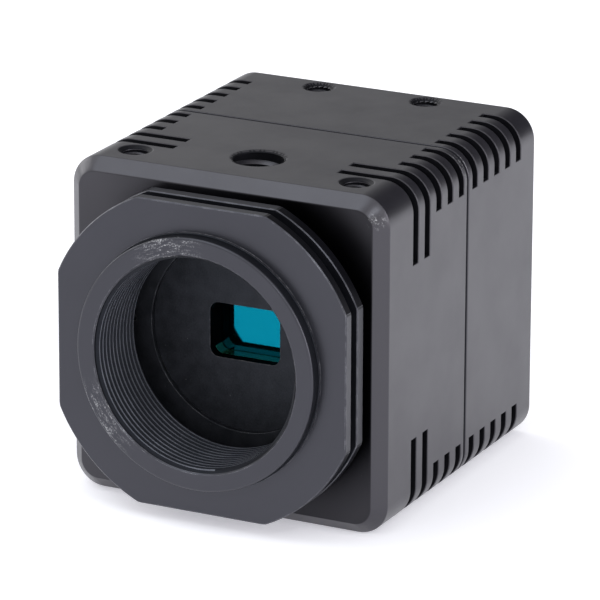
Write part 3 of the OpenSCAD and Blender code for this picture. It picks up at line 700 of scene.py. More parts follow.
MAGNET = SurfaceFinish("magnet_metal", (0.10, 0.10, 0.11), (0.15, 0.15, 0.16), 0.5,
                       Texture.CERAMIC, 0.15, 0.003, metallic=0.7)
STEEL = SurfaceFinish("bright_steel", (0.52, 0.53, 0.54), (0.64, 0.65, 0.66), 0.20,
                      Texture.CERAMIC, 0.20, 0.001, metallic=1.0)
HEADER = SurfaceFinish("header_plastic", (0.60, 0.55, 0.42), (0.70, 0.65, 0.52), 0.50,
                       Texture.MOULDED, 0.12, 0.002)
FILM = SurfaceFinish("flex_film", (0.30, 0.12, 0.015), (0.42, 0.19, 0.03), 0.30,
                     Texture.TRACES, 1.2, 0.01, coat=0.4)
SOCKET_PLASTIC = SurfaceFinish("socket_plastic", (0.010, 0.010, 0.011), (0.016, 0.016, 0.017),
                               0.40, Texture.MOULDED, 0.10, 0.002)
LENS_LIGHT = SurfaceFinish("light_lens", (0.34, 0.50, 0.36), (0.46, 0.62, 0.47), 0.22,
                           Texture.MOULDED, 0.30, 0.001, coat=0.6)


# ---------------------------------------------------------------- mesh helpers


def dress(node: str, finish: object) -> None:
    """Gives a CAD node that stays its finished material.

    Args:
        node: the node's name.
        finish: its finish.
    """
    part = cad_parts[node]
    part.data.materials.clear()
    part.data.materials.append(finish.material())
    log.info("dressed %s as %s", node, finish.slot)


def dress_all(finishes: Dict[str, object]) -> None:
    """Dresses several CAD nodes, in order, each with its finish."""
    for node, finish in finishes.items():
        dress(node, finish)


def publish(name: str, mesh: bmesh.types.BMesh, finish: object, body: Body,
            replaces: Sequence[str] = (), weld: float = 1e-6,
            more: Sequence[object] = ()) -> bpy.types.Object:
    """Turns a finished bmesh into a piece of the model.

    Args:
        name: the piece's name.
        mesh: the shape, in metres, which is freed.
        finish: its finish.
        body: the body it moves with.
        replaces: CAD nodes that it stands for.
        weld: how close two points are merged.
        more: the finishes of the faces whose material index is 1, 2 and so on.

    Returns:
        The new object.
    """
    if weld > 0.0:
        bmesh.ops.remove_doubles(mesh, verts=mesh.verts[:], dist=weld)
    bmesh.ops.recalc_face_normals(mesh, faces=mesh.faces[:])
    data = bpy.data.meshes.new(name)
    mesh.to_mesh(data)
    mesh.free()
    data.shade_smooth()
    data.set_sharp_from_angle(angle=SMOOTH_BELOW)
    data.materials.append(finish.material())
    for other in more:
        data.materials.append(other.material())
    piece = bpy.data.objects.new(name, data)
    bpy.context.scene.collection.objects.link(piece)
    even = piece.modifiers.new("even_normals", "WEIGHTED_NORMAL")
    even.mode = "FACE_AREA"
    even.weight = 70
    even.keep_sharp = True
    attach(piece, body.value)
    if replaces:
        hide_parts(*replaces)
    log.info("built %s: %d faces on %s", name, len(data.polygons), body.value)
    return piece


def cad_copy(node: str) -> bmesh.types.BMesh:
    """Copies a CAD node's mesh and merges its loose triangles.

    Args:
        node: the node's name.

    Returns:
        The copy, in metres.
    """
    mesh = bmesh.new()
    mesh.from_mesh(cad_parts[node].data)
    bmesh.ops.remove_doubles(mesh, verts=mesh.verts[:], dist=1e-6)
    return mesh


def break_edges(mesh: bmesh.types.BMesh, size: float, above: float = 28.0,
                segments: int = 2) -> None:
    """Rounds every sharp edge of a shape a little, as a deburred part has it.

    Args:
        mesh: the shape.
        size: the width taken off each side of an edge.
        above: edges that turn by more than this many degrees are sharp.
        segments: how many facets make the rounding.
    """
    bmesh.ops.dissolve_limit(mesh, angle_limit=math.radians(0.5), verts=mesh.verts[:],
                             edges=mesh.edges[:])
    sharp = [edge for edge in mesh.edges
             if len(edge.link_faces) == 2 and edge.calc_face_angle(0.0) > math.radians(above)]
    bmesh.ops.bevel(mesh, geom=sharp, offset=size * MM, offset_type="OFFSET", segments=segments,
                    profile=0.5, affect="EDGES", material=-1, clamp_overlap=False)


def soften(node: str, name: str, finish: object, edge: float, segments: int = 2) -> None:
    """Stands a copy with broken edges in for a CAD node.

    Args:
        node: the node.
        name: the new piece's name.
        finish: its finish.
        edge: width of the broken edges.
        segments: how many facets make the rounding.
    """
    mesh = cad_copy(node)
    break_edges(mesh, edge, segments=segments)
    publish(name, mesh, finish, Body.HOUSING, [node], 0.0)


def turn(mesh: bmesh.types.BMesh, profile: Sequence[Point], steps: int,
         centre: Point = (0.0, 0.0), closed: bool = True) -> None:
    """Spins a profile about an axis that runs along Y.

    Args:
        mesh: where the shape is added.
        profile: its points, each a radius and a y.
        steps: how many facets go round.
        centre: x and z of the axis.
        closed: joins the last point to the first.
    """
    x, z = centre
    points = [mesh.verts.new(((x + r) * MM, y * MM, z * MM)) for r, y in profile]
    pairs = list(zip(points, points[1:]))
    if closed:
        pairs.append((points[-1], points[0]))
    edges = [mesh.edges.new(pair) for pair in pairs]
    bmesh.ops.spin(mesh, geom=points + edges, cent=(x * MM, 0.0, z * MM), axis=(0.0, 1.0, 0.0),
                   angle=math.tau, steps=steps, use_merge=True, use_duplicate=False)


def edges_between(items: Sequence[object],
                  verts: Sequence[bmesh.types.BMVert]) -> List[bmesh.types.BMEdge]:
    """Finds the new rim that an extrusion has made.

    Args:
        items: what the extrusion returned.
        verts: its new points.

    Returns:
        The edges whose two ends are both new.
    """
    new = set(verts)
    return [item for item in items if isinstance(item, bmesh.types.BMEdge)
            and item.verts[0] in new and item.verts[1] in new]


def face_place(face: bmesh.types.BMFace) -> Tuple[Vector, float]:
    """Returns a face's middle and its distance from the optical axis, in millimetres."""
    middle = face.calc_center_median() / MM
    return middle, math.hypot(middle.x, middle.z)


def join(mesh: bmesh.types.BMesh, part: bmesh.types.BMesh) -> None:
    """Moves a finished part into a larger mesh.

    Args:
        mesh: the larger mesh.
        part: the part, which is freed.
    """
    carrier = bpy.data.meshes.new("carrier")
    part.to_mesh(carrier)
    part.free()
    mesh.from_mesh(carrier)
    bpy.data.meshes.remove(carrier)


def slice_flat(mesh: bmesh.types.BMesh, half: float) -> None:
    """Cuts four flats, left, right, top and bottom, and closes the cuts.

    Args:
        mesh: the shape.
        half: how far each flat is from the axis.
    """
    for direction in (Vector((1, 0, 0)), Vector((-1, 0, 0)), Vector((0, 0, 1)),
                      Vector((0, 0, -1))):
        cut = bmesh.ops.bisect_plane(
            mesh, geom=mesh.verts[:] + mesh.edges[:] + mesh.faces[:],
            plane_co=direction * half * MM, plane_no=direction, clear_outer=True, dist=1e-8)
        rim = [item for item in cut["geom_cut"] if isinstance(item, bmesh.types.BMEdge)]
        bmesh.ops.holes_fill(mesh, edges=rim, sides=0)


@dataclass(frozen=True)
class ThreadForm:
    """A screw thread's ridge.

    Attributes:
        root: radius of the wall that the ridge stands on.
        crest: radius of its crest, smaller than the root in a hole.
        pitch: advance in one turn.
        start: where along its axis it begins.
        turns: how many turns it has.
        steps: facets in one turn.
        run_out: turns over which it fades at each end.
    """

    root: float
    crest: float
    pitch: float
    start: float
    turns: float
    steps: int = 72
    run_out: float = 0.45

    def cut(self, mesh: bmesh.types.BMesh, move: Optional[Matrix] = None) -> None:
        """Winds the ridge about Y.

        Args:
            mesh: where it is added.
            move: takes it from the Y axis to its place.
        """
        sunk = 0.05 if self.root > self.crest else -0.05
        foot = self.pitch * 0.46
        top = self.pitch * 0.14
        section = ((self.root + sunk, -foot), (self.crest, -top), (self.crest, top),
                   (self.root + sunk, foot))
        part = bmesh.new()
        points = [part.verts.new((r * MM, (self.start + y) * MM, 0.0)) for r, y in section]
        edges = [part.edges.new(pair) for pair in zip(points, points[1:] + points[:1])]
        part.faces.new(points)
        count = int(round(self.turns * self.steps))
        rise = Vector((0.0, self.pitch / self.steps * MM, 0.0))
        wound = bmesh.ops.spin(part, geom=points + edges, cent=(0, 0, 0), axis=(0, 1, 0),
                               dvec=rise, angle=math.tau * self.turns, steps=count,
                               use_merge=False, use_duplicate=False)
        rim = [item for item in wound["geom_last"] if isinstance(item, bmesh.types.BMEdge)]
        bmesh.ops.holes_fill(part, edges=rim, sides=0)
        for vert in part.verts:
            along = (vert.co.y / MM - self.start) / self.pitch
            fade = min(1.0, max(0.0, min(along + 0.1, self.turns - along + 0.1) / self.run_out))
            radius = math.hypot(vert.co.x, vert.co.z) / MM
            target = self.root + sunk + (radius - self.root - sunk) * fade
            vert.co.x *= target / radius
            vert.co.z *= target / radius
        if move is not None:
            bmesh.ops.transform(part, matrix=move, verts=part.verts[:])
        bmesh.ops.recalc_face_normals(part, faces=part.faces[:])
        join(mesh, part)


def hex_reach(angle: float, corner: float) -> float:
    """Distance from the middle of a hexagon to its side.

    Args:
        angle: direction in radians.
        corner: distance to its corners.

    Returns:
        The distance.
    """
    sixth = math.pi / 3
    return corner * math.cos(sixth / 2) / math.cos((angle % sixth) - sixth / 2)


@dataclass(frozen=True)
class SocketScrew:
    """A screw along Y with a hexagon socket, its face turned to +Y.

    Attributes:
        head: radius of the head.
        depth: thickness of the head.
        shank: radius of the shank.
        length: length of the shank.
        hexagon: distance from the socket's middle to its corners.
        socket: depth of the socket.
        countersunk: gives the head a cone instead of a straight side.
    """

    head: float
    depth: float
    shank: float
    length: float
    hexagon: float
    socket: float
    countersunk: bool = False

    def cut(self, mesh: bmesh.types.BMesh, place: Place) -> None:
        """Adds the screw.

        Args:
            mesh: where it is added.
            place: the middle of its face.
        """
        x, y, z = place
        part = bmesh.new()
        bmesh.ops.create_circle(part, segments=36, radius=self.head * MM, cap_ends=True)
        face = part.faces[:][0]
        bmesh.ops.inset_region(part, faces=[face], thickness=(self.head - self.hexagon) * MM,
                               use_even_offset=True, use_boundary=True)
        rim = [edge for edge in part.edges if len(edge.link_faces) == 1]
        face = min(part.faces, key=lambda f: f.calc_center_median().length)
        for vert in face.verts:
            angle = math.atan2(vert.co.y, vert.co.x)
            reach = hex_reach(angle, self.hexagon) * MM
            vert.co.x, vert.co.y = reach * math.cos(angle), reach * math.sin(angle)
        rim_in = list(face.edges)
        well = bmesh.ops.extrude_discrete_faces(part, faces=[face])["faces"][0]
        bmesh.ops.translate(part, vec=(0, 0, -self.socket * MM), verts=well.verts[:])
        bmesh.ops.poke(part, faces=[well], offset=-0.25 * self.hexagon * MM)
        side = self._extrude(part, rim, self.depth, self.shank / self.head
                             if self.countersunk else 1.0)
        if not self.countersunk:
            side = self._extrude(part, side, 0.0, self.shank / self.head)
        side = self._extrude(part, side, self.length, 1.0)
        bmesh.ops.holes_fill(part, edges=side, sides=0)
        soft = [edge for edge in rim + rim_in if edge.is_valid]
        bmesh.ops.bevel(part, geom=soft, offset=(0.06 if self.countersunk else 0.14) * MM,
                        offset_type="OFFSET", segments=3, profile=0.5, affect="EDGES",
                        material=-1, clamp_overlap=True)
        bmesh.ops.recalc_face_normals(part, faces=part.faces[:])
        place_matrix = Matrix.Translation((x * MM, y * MM, z * MM)) @ \
            Matrix.Rotation(-math.pi / 2, 4, "X")
        bmesh.ops.transform(part, matrix=place_matrix, verts=part.verts[:])
        join(mesh, part)

    @staticmethod
    def _extrude(part: bmesh.types.BMesh, edges: Sequence[bmesh.types.BMEdge], down: float,
                 scale: float) -> List[bmesh.types.BMEdge]:
        """Pulls a rim of edges down and scales it.

        Args:
            part: the screw so far.
            edges: the rim.
            down: how far down.
            scale: how much wider or narrower the new rim is.

        Returns:
            The new rim.
        """
        pulled = bmesh.ops.extrude_edge_only(part, edges=list(edges))["geom"]
        verts = [item for item in pulled if isinstance(item, bmesh.types.BMVert)]
        bmesh.ops.translate(part, vec=(0, 0, -down * MM), verts=verts)
        bmesh.ops.scale(part, vec=(scale, scale, 1.0), verts=verts)
        return edges_between(pulled, verts)


# ---------------------------------------------------------------- lens mount


@dataclass
class LensMount:
    """The screw-in lens adapter and the ring that locks it.

    Attributes:
        collar: radius of the collar.
        mouth: radius of the opening in its face.
        root: radius of the lens thread's root.
        crest: radius of the lens thread's crest.
        flange: radius of the flange and the ring.
        flat: distance of each spanner flat from the axis.
        barrel: outer radius of the adapter's barrel.
        barrel_root: root radius of the thread on the barrel.
        edge: width of the broken edges.
        collar_round: radius of the collar's front edge.
        facets: how many facets go round.
        lens_pitch: pitch of the lens thread.
        barrel_pitch: pitch of the barrel's thread.
    """

    collar: float = 14.9
    mouth: float = 12.86
    root: float = 12.7
    crest: float = 12.35
    flange: float = 19.9
    flat: float = 18.2
    barrel: float = 15.0
    barrel_root: float = 14.58
    edge: float = 0.11
    collar_round: float = 0.32
    facets: int = 192
    lens_pitch: float = 0.79375
    barrel_pitch: float = 0.75

    def build(self) -> None:
        """Makes the adapter and the lock ring, and dresses their seals."""
        self._adapter()
        self._lock_ring()
        dress("adapter_o_ring", RUBBER)
        dress("lock_washer", POLYMER)

    def _adapter(self) -> None:
        """Turns the adapter, cuts its flats and winds its two threads."""
        e = self.edge
        profile = [
            (self.mouth, 0.0), *self._rounding(), (self.collar, 1.38), (15.0, 1.38),
            (15.06, 1.44), (15.06, 1.7), (self.flange - e, 1.7),
            (self.flange, 1.7 + e), (self.flange, 3.0 - e), (self.flange - e, 3.0),
            (self.barrel_root + 0.1, 3.0), (self.barrel_root, 3.1), (self.barrel_root, 7.7),
            (self.barrel, 8.05), (self.barrel, 8.2), (14.1, 8.2), (14.1, 9.2),
            (self.barrel, 9.2), (self.barrel, 9.6), (14.8, 9.8), (12.9, 9.8),
            (self.root, 9.6), (self.root, 0.16),
        ]
        mesh = bmesh.new()
        turn(mesh, profile, self.facets)
        bmesh.ops.remove_doubles(mesh, verts=mesh.verts[:], dist=1e-7)
        slice_flat(mesh, self.flat)
        self._soften_flats(mesh)
        ThreadForm(self.root, self.crest, self.lens_pitch, 0.40, 11.1, 96, 0.25).cut(mesh)
        ThreadForm(self.barrel_root, self.barrel - 0.02, self.barrel_pitch, 3.5, 5.6).cut(mesh)
        # Painted shade on the thread roots, the collar's side wall and the barrel behind the
        # flange; painted highlight on the thread crests.
        for face in mesh.faces:
            middle, radius = face_place(face)
            if radius < self.root + 0.04 and middle.y > 0.20:
                face.material_index = 1 if radius > self.crest + 0.05 else 2
            base = 0.36 < middle.y < 1.5 and radius > self.collar - 0.1
            if middle.y > 2.98 or base:
                face.material_index = max(1, face.material_index)
        self._paint_rim_shade(mesh, 3)
        publish("lens_adapter_threaded", mesh, ADAPTER, Body.ADAPTER, ["lens_adapter"], 0.0,
                [PAINTED_SHADE_FLANKS, PAINTED_HIGHLIGHT_CRESTS, PAINTED_SHADE_RIMS])

    def _rounding(self) -> List[Point]:
        """Returns the points of the collar's rounded front edge."""
        turns = [math.radians(15 * step) for step in range(7)]
        r = self.collar_round
        return [(self.collar - r + r * math.sin(a), r - r * math.cos(a)) for a in turns]

    def _lock_ring(self) -> None:
        """Turns the lock ring and cuts its flats."""
        e = self.edge
        front, back = 4.5, 6.0
        profile = [
            (15.25, front), (self.flange - e, front), (self.flange, front + e),
            (self.flange, back - e), (self.flange - e, back), (16.8, back), (16.8, back - 0.3),
            (15.15, back - 0.3), (15.05, back - 0.4), (15.05, front + 0.2),
        ]
        mesh = bmesh.new()
        turn(mesh, profile, self.facets)
        bmesh.ops.remove_doubles(mesh, verts=mesh.verts[:], dist=1e-7)
        slice_flat(mesh, self.flat)
        self._soften_flats(mesh)
        # Painted shade on the ring's front face inside its rim.
        for face in mesh.faces:
            middle, radius = face_place(face)
            if middle.y < front + 0.01 and radius < self.flange - 0.2:
                face.material_index = 1
        self._paint_rim_shade(mesh, 2)
        publish("lock_ring_flatted", mesh, ADAPTER, Body.LOCK_RING, ["lock_ring"], 0.0,
                [PAINTED_SHADE_FLANKS, PAINTED_SHADE_RIMS])

    def _paint_rim_shade(self, mesh: bmesh.types.BMesh, index: int) -> None:
        """Paints shade on the round parts of a flatted rim with a darker material.

        Args:
            mesh: the piece.
            index: the darker material's place in the piece's list.
        """
        mesh.normal_update()
        for face in mesh.faces:
            outside = face_place(face)[1] > self.flange - self.edge - 0.02
            wall = abs(face.normal.y) < 0.3
            if outside and wall and max(abs(face.normal.x), abs(face.normal.z)) < 0.95:
                face.material_index = index

    def _soften_flats(self, mesh: bmesh.types.BMesh) -> None:
        """Breaks the edges that the flats have cut.

        Args:
            mesh: the piece.
        """
        sharp = []
        for edge in mesh.edges:
            on_flat = any(abs(abs(f.normal.x) - 1) < 1e-4 or abs(abs(f.normal.z) - 1) < 1e-4
                          for f in edge.link_faces)
            far = all(max(abs(v.co.x), abs(v.co.z)) > (self.flat - 0.01) * MM for v in edge.verts)
            if on_flat and far and len(edge.link_faces) == 2 and \
                    edge.calc_face_angle(0.0) > math.radians(12):
                sharp.append(edge)
        bmesh.ops.bevel(mesh, geom=sharp, offset=self.edge * MM, offset_type="OFFSET",
                        segments=1, profile=0.5, affect="EDGES", material=-1,
                        clamp_overlap=False)


# ---------------------------------------------------------------- shells


@dataclass(frozen=True)
class TappedHole:
    """A threaded hole in the top face.

    Attributes:
        x: its place across.
        y: its place along the body.
        crest: radius of the thread's crest.
        root: radius of the thread's root.
        pitch: the thread's pitch.
        depth: how deep it goes.
        rim: radius of the countersink at the top face.
    """

    x: float
    y: float
    crest: float
    root: float
    pitch: float
    depth: float
    rim: float


@dataclass
class Shells:
    """The two housing shells, the seal between them and the screws that hold them.

    Attributes:
        top: height of the top face.
        corner: radius of the long corners.
        seam: where the two shells meet.
        back: where the rear face lies.
        edge: width of the broken edges.
    """

    top: float = 20.0
    corner: float = 3.6
    seam: float = 29.5
    back: float = 48.4
    edge: float = 0.10

    def build(self) -> None:
        """Makes the shells and the tie screws, and dresses the seal."""
        tripod = TappedHole(0.0, 16.1, 2.6, 3.08, 1.27, 4.6, 3.42)
        front = [tripod] + [TappedHole(x, 12.65, 1.25, 1.47, 0.5, 5.0, 2.06) for x in (-14.0, 14.0)]
        rear = [TappedHole(x, 45.6, 1.25, 1.47, 0.5, 4.1, 2.06) for x in (-7.0, 7.0)]
        self._shell("front_housing", "front_shell", front)
        self._shell("rear_housing", "rear_shell", rear)
        dress("housing_gasket", RUBBER)
        screws = bmesh.new()
        tie = SocketScrew(1.9, 2.0, 1.0, 21.5, 0.87, 1.1)
        for x in (-15.4, 15.4):
            for z in (-11.5, 11.5):
                tie.cut(screws, (x, 48.2, z))
        publish("tie_screws_socket", screws, SCREW, Body.HOUSING, ["tie_screws"], 0.0)

    def _shell(self, node: str, name: str, holes: Sequence[TappedHole]) -> None:
        """Breaks a shell's edges and threads its holes.

        Args:
            node: the CAD node.
            name: the new piece's name.
            holes: its tapped holes.
        """
        mesh = cad_copy(node)
        for hole in holes:
            self._open_hole(mesh, hole)
        break_edges(mesh, self.edge)
        for hole in holes:
            self._thread(mesh, hole)
        self._painted_shade_inside(mesh, holes)
        publish(name, mesh, SHELL, Body.HOUSING, [node], 0.0, [SHELL_PAINTED_SHADE])

    def _painted_shade_inside(self, mesh: bmesh.types.BMesh, holes: Sequence[TappedHole]) -> None:
        """Paints shade on the slots, the seam, the hole rims and the cavity with the darker second
        material.

        Args:
            mesh: the shell.
            holes: its tapped holes.
        """
        # Faces deep in the walls, in the seam's groove and on the hole rims get the painted shade.
        for face in mesh.faces:
            middle = face.calc_center_median() / MM
            bend = self.top - self.corner
            across = Vector((abs(middle.x) - bend, abs(middle.z) - bend))
            outside = Vector((max(across.x, 0.0), max(across.y, 0.0))).length
            depth = self.corner - outside - min(max(across), 0.0)
            seam = abs(middle.y - self.seam) < 0.11
            walls = 9.9 < middle.y < self.back - 0.15
            in_painted_shade = walls and (depth > 0.12 or (seam and depth > 0.01))
            for hole in holes:
                radius = math.hypot(middle.x - hole.x, middle.y - hole.y)
                wall = radius < hole.root + 0.02 and 0.3 < self.top - middle.z < 1.5
                in_painted_shade = in_painted_shade and not wall
            if in_painted_shade:
                face.material_index = 1

    def _open_hole(self, mesh: bmesh.types.BMesh, hole: TappedHole) -> None:
        """Widens a hole's wall to the root of its thread.

        Args:
            mesh: the shell.
            hole: the hole.
        """
        for vert in mesh.verts:
            across = vert.co.x / MM - hole.x
            along = vert.co.y / MM - hole.y
            radius = math.hypot(across, along)
            depth = self.top - vert.co.z / MM
            if abs(radius - hole.crest) < 0.03 and 0.0 < depth < hole.depth + 0.1:
                vert.co.x = (hole.x + across * hole.root / radius) * MM
                vert.co.y = (hole.y + along * hole.root / radius) * MM
                if depth < 1.0:
                    vert.co.z += (hole.root - hole.crest) * MM
            elif abs(depth) < 0.001 and radius < hole.crest + 0.8:
                vert.co.x = (hole.x + across * hole.rim / radius) * MM
                vert.co.y = (hole.y + along * hole.rim / radius) * MM

    def _thread(self, mesh: bmesh.types.BMesh, hole: TappedHole) -> None:
        """Winds the thread inside a hole.

        Args:
            mesh: the shell.
            hole: the hole.
        """
        turns = (hole.depth - 0.9) / hole.pitch - 0.5
        form = ThreadForm(hole.root, hole.crest, hole.pitch, 0.0, turns, 36, 0.5)
        move = Matrix.Translation((hole.x * MM, hole.y * MM,
                                   (self.top - 0.45 - hole.pitch * 0.3) * MM)) @ \
            Matrix.Rotation(-math.pi / 2, 4, "X")
        form.cut(mesh, move)


# ---------------------------------------------------------------- window and sensor


@dataclass
class SensorWindow:
    """The ring, mask, glass and seal in front of the image sensor.

    Attributes:
        edge: width of the broken edges.
        reach: a radius that holds the plate's opening and nothing of its rim.
    """

    edge: float = 0.06
    reach: float = 9.0

    def build(self) -> None:
        """Breaks the edges of the ring and the mask, and dresses the rest."""
        for node, name in (("retaining_ring", "retaining_ring_slotted"),
                           ("sensor_mask", "sensor_mask_plate")):
            mesh = cad_copy(node)
            break_edges(mesh, self.edge)
            # Painted shade on the walls of the mask's opening.
            if node == "sensor_mask":
                self._paint_opening_shade(mesh)
            publish(name, mesh, BLACKENED, Body.HOUSING, [node], 0.0, [GLOSS_FRAME])
        tube = cad_copy("window_frame")
        break_edges(tube, 0.10)
        tube.normal_update()
        # Painted reflection: green on the frame's inner floor, brighter on its sloped bevels.
        for face in tube.faces:
            if face.normal.z > 0.3 and face.calc_center_median().z < 0.0:
                face.material_index = 2 if abs(face.normal.y) > 0.3 else 1
        publish("window_frame_tube", tube, GLOSS_FRAME, Body.HOUSING, ["window_frame"], 0.0,
                [FRAME_FLOOR_PAINTED_REFLECTION, FRAME_LIP_PAINTED_REFLECTION])
        dress("filter_glass", COATED)
        dress("filter_gasket", RUBBER)

    def _paint_opening_shade(self, mesh: bmesh.types.BMesh) -> None:
        """Paints shade on the walls of the plate's opening with the unreflecting black of the frame
        behind it.

        Args:
            mesh: the plate.
        """
        mesh.normal_update()
        for face in mesh.faces:
            if abs(face.normal.y) < 0.5 and face_place(face)[1] < self.reach:
                face.material_index = 1


@dataclass
class ImageSensor:
    """The sensor in its package, its bond wires and the board that carries it.

    Attributes:
        pad_x: how far out the rows of wires are.
        rows: wires in each row.
        wire: radius of a wire.
    """

    pad_x: float = 4.65
    rows: int = 14
    wire: float = 0.025

    def build(self) -> None:
        """Makes the bond wires and dresses the CAD pieces."""
        self._bond_wires()
        dress_all({"sensor_cover_glass": CLEAR, "sensor_die": SILICON,
                   "sensor_package": PACKAGE, "sensor_board": BOARD,
                   "sensor_board_parts": CHIP, "chamber_gasket": RUBBER, "standoffs": BRASS})

    def _bond_wires(self) -> None:
        """Arches a fine wire from each pad of the package to the edge of the die."""
        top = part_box("sensor_die")[0].y / MM
        mesh = bmesh.new()
        for side in (-1, 1):
            for row in range(self.rows):
                z = -2.7 + row * 5.4 / (self.rows - 1)
                route = [(4.05, top - 0.015), (4.15, top - 0.16), (4.4, top - 0.18),
                         (self.pad_x, top + 0.1), (self.pad_x + 0.1, top + 0.38)]
                self._wire(mesh, [Vector((side * x, y, z)) for x, y in route])
        publish("bond_wires", mesh, BRASS, Body.HOUSING)

    def _wire(self, mesh: bmesh.types.BMesh, route: Sequence[Vector]) -> None:
        """Pulls a four sided wire along a route.

        Args:
            mesh: where it is added.
            route: its points.
        """
        ring = bmesh.ops.create_circle(mesh, segments=4, radius=self.wire * MM,
                                       matrix=Matrix.Translation(route[0] * MM)
                                       @ Matrix.Rotation(math.pi / 2, 4, "X"))["verts"]
        edges = list({edge for vert in ring for edge in vert.link_edges})
        for before, after in zip(route, route[1:]):
            pulled = bmesh.ops.extrude_edge_only(mesh, edges=edges)["geom"]
            verts = [item for item in pulled if isinstance(item, bmesh.types.BMVert)]
            bmesh.ops.translate(mesh, vec=(after - before) * MM, verts=verts)
            edges = edges_between(pulled, verts)


# ---------------------------------------------------------------- cooler and fan


@dataclass
class Cooler:
    """The thermoelectric cooler between the cold finger and the heat sink."""

    edge: float = 0.1

    def build(self) -> None:
        """Breaks the heat sink's edges and dresses the rest."""
        soften("heat_sink", "heat_sink_pins", SINK, self.edge, 1)
        dress_all({"cold_finger": COPPER, "temperature_probe": POLYMER,
                   "insulation_collar": POLYMER, "tec_cold_plate": WHITE_CERAMIC,
                   "tec_pellets": PELLET, "tec_hot_plate": WHITE_CERAMIC,
                   "tec_leads": INSULATION, "heat_sink_screws": SCREW})


@dataclass
class CoolingFan:
    """The fan behind the heat sink and the guard over it.

    Attributes:
        centre: height of its axis.
        front: where its frame begins.
        hub: radius of the rotor's hub.
        tip: radius of the blades.
        blades: how many blades.
    """

    centre: float = 3.0
    front: float = 37.4
    hub: float = 6.0
    tip: float = 11.2
    blades: int = 7

    def build(self) -> None:
        """Makes the rotor, frame, guard and screws, and dresses the motor."""
        self._rotor()
        for node, name, finish, edge in (("fan_frame", "fan_frame_moulded", FAN_PLASTIC, 0.12),
                                         ("fan_guard", "fan_guard_plate", GUARD, 0.13)):
            soften(node, name, finish, edge)
        screws = bmesh.new()
        screw = SocketScrew(1.86, 0.75, 1.0, 8.2, 0.72, 0.6, True)
        for x in (-10.0, 10.0):
            for z in (-10.0, 10.0):
                screw.cut(screws, (x, 48.34, self.centre + z))
        publish("fan_screws_countersunk", screws, SCREW, Body.HOUSING, ["fan_screws"], 0.0)
        dress_all({"fan_stator": COPPER, "fan_bearing": BRASS, "fan_magnet": MAGNET,
                   "fan_shaft": STEEL, "fan_leads": INSULATION})

    def _rotor(self) -> None:
        """Turns the hub cup and sets its curved blades."""
        front, back = self.front + 1.6, self.front + 6.2
        profile = [
            (0.62, front + 0.3), (0.9, front + 0.3), (0.9, back - 0.8), (5.3, back - 0.8),
            (5.3, front), (self.hub - 0.1, front), (self.hub, front + 0.1),
            (self.hub, back - 0.5), (self.hub - 0.15, back - 0.15), (self.hub - 0.5, back),
            (4.2, back), (4.1, back - 0.08), (3.6, back - 0.08), (3.5, back), (0.62, back),
        ]
        mesh = bmesh.new()
        turn(mesh, profile, 72, (0.0, self.centre))
        for index in range(self.blades):
            self._blade(mesh, index * math.tau / self.blades)
        publish("fan_rotor_bladed", mesh, FAN_PLASTIC, Body.ROTOR, ["fan_rotor"])

    def _blade(self, mesh: bmesh.types.BMesh, turn_by: float) -> None:
        """Bends a grid into one swept and twisted blade and thickens it.

        Args:
            mesh: where it is added.
            turn_by: the blade's angle about the axis.
        """
        part = bmesh.new()
        bmesh.ops.create_grid(part, x_segments=8, y_segments=8, size=0.5)
        middle = self.front + 4.0
        for vert in part.verts:
            span = vert.co.x + 0.5
            chord = vert.co.y
            radius = (self.hub - 0.25) + span * (self.tip - self.hub + 0.25)
            wide = 3.6 + 1.9 * span
            pitch = math.radians(48 - 16 * span)
            camber = 0.55 * (1.0 - 4.0 * chord * chord)
            around = chord * wide * math.cos(pitch) + camber * math.sin(pitch)
            along = chord * min(wide * math.sin(pitch), 4.2) - camber * math.cos(pitch) * 0.6
            angle = around / radius + 0.30 * span * span
            vert.co = Vector((radius * math.cos(angle), middle + along,
                              radius * math.sin(angle))) * MM
        bmesh.ops.recalc_face_normals(part, faces=part.faces[:])
        bmesh.ops.solidify(part, geom=part.faces[:], thickness=0.45 * MM)
        bmesh.ops.rotate(part, cent=(0, 0, 0), matrix=Matrix.Rotation(turn_by, 3, "Y"),
                         verts=part.verts[:])
        bmesh.ops.translate(part, vec=(0, 0, self.centre * MM), verts=part.verts[:])
        join(mesh, part)


# ---------------------------------------------------------------- electronics


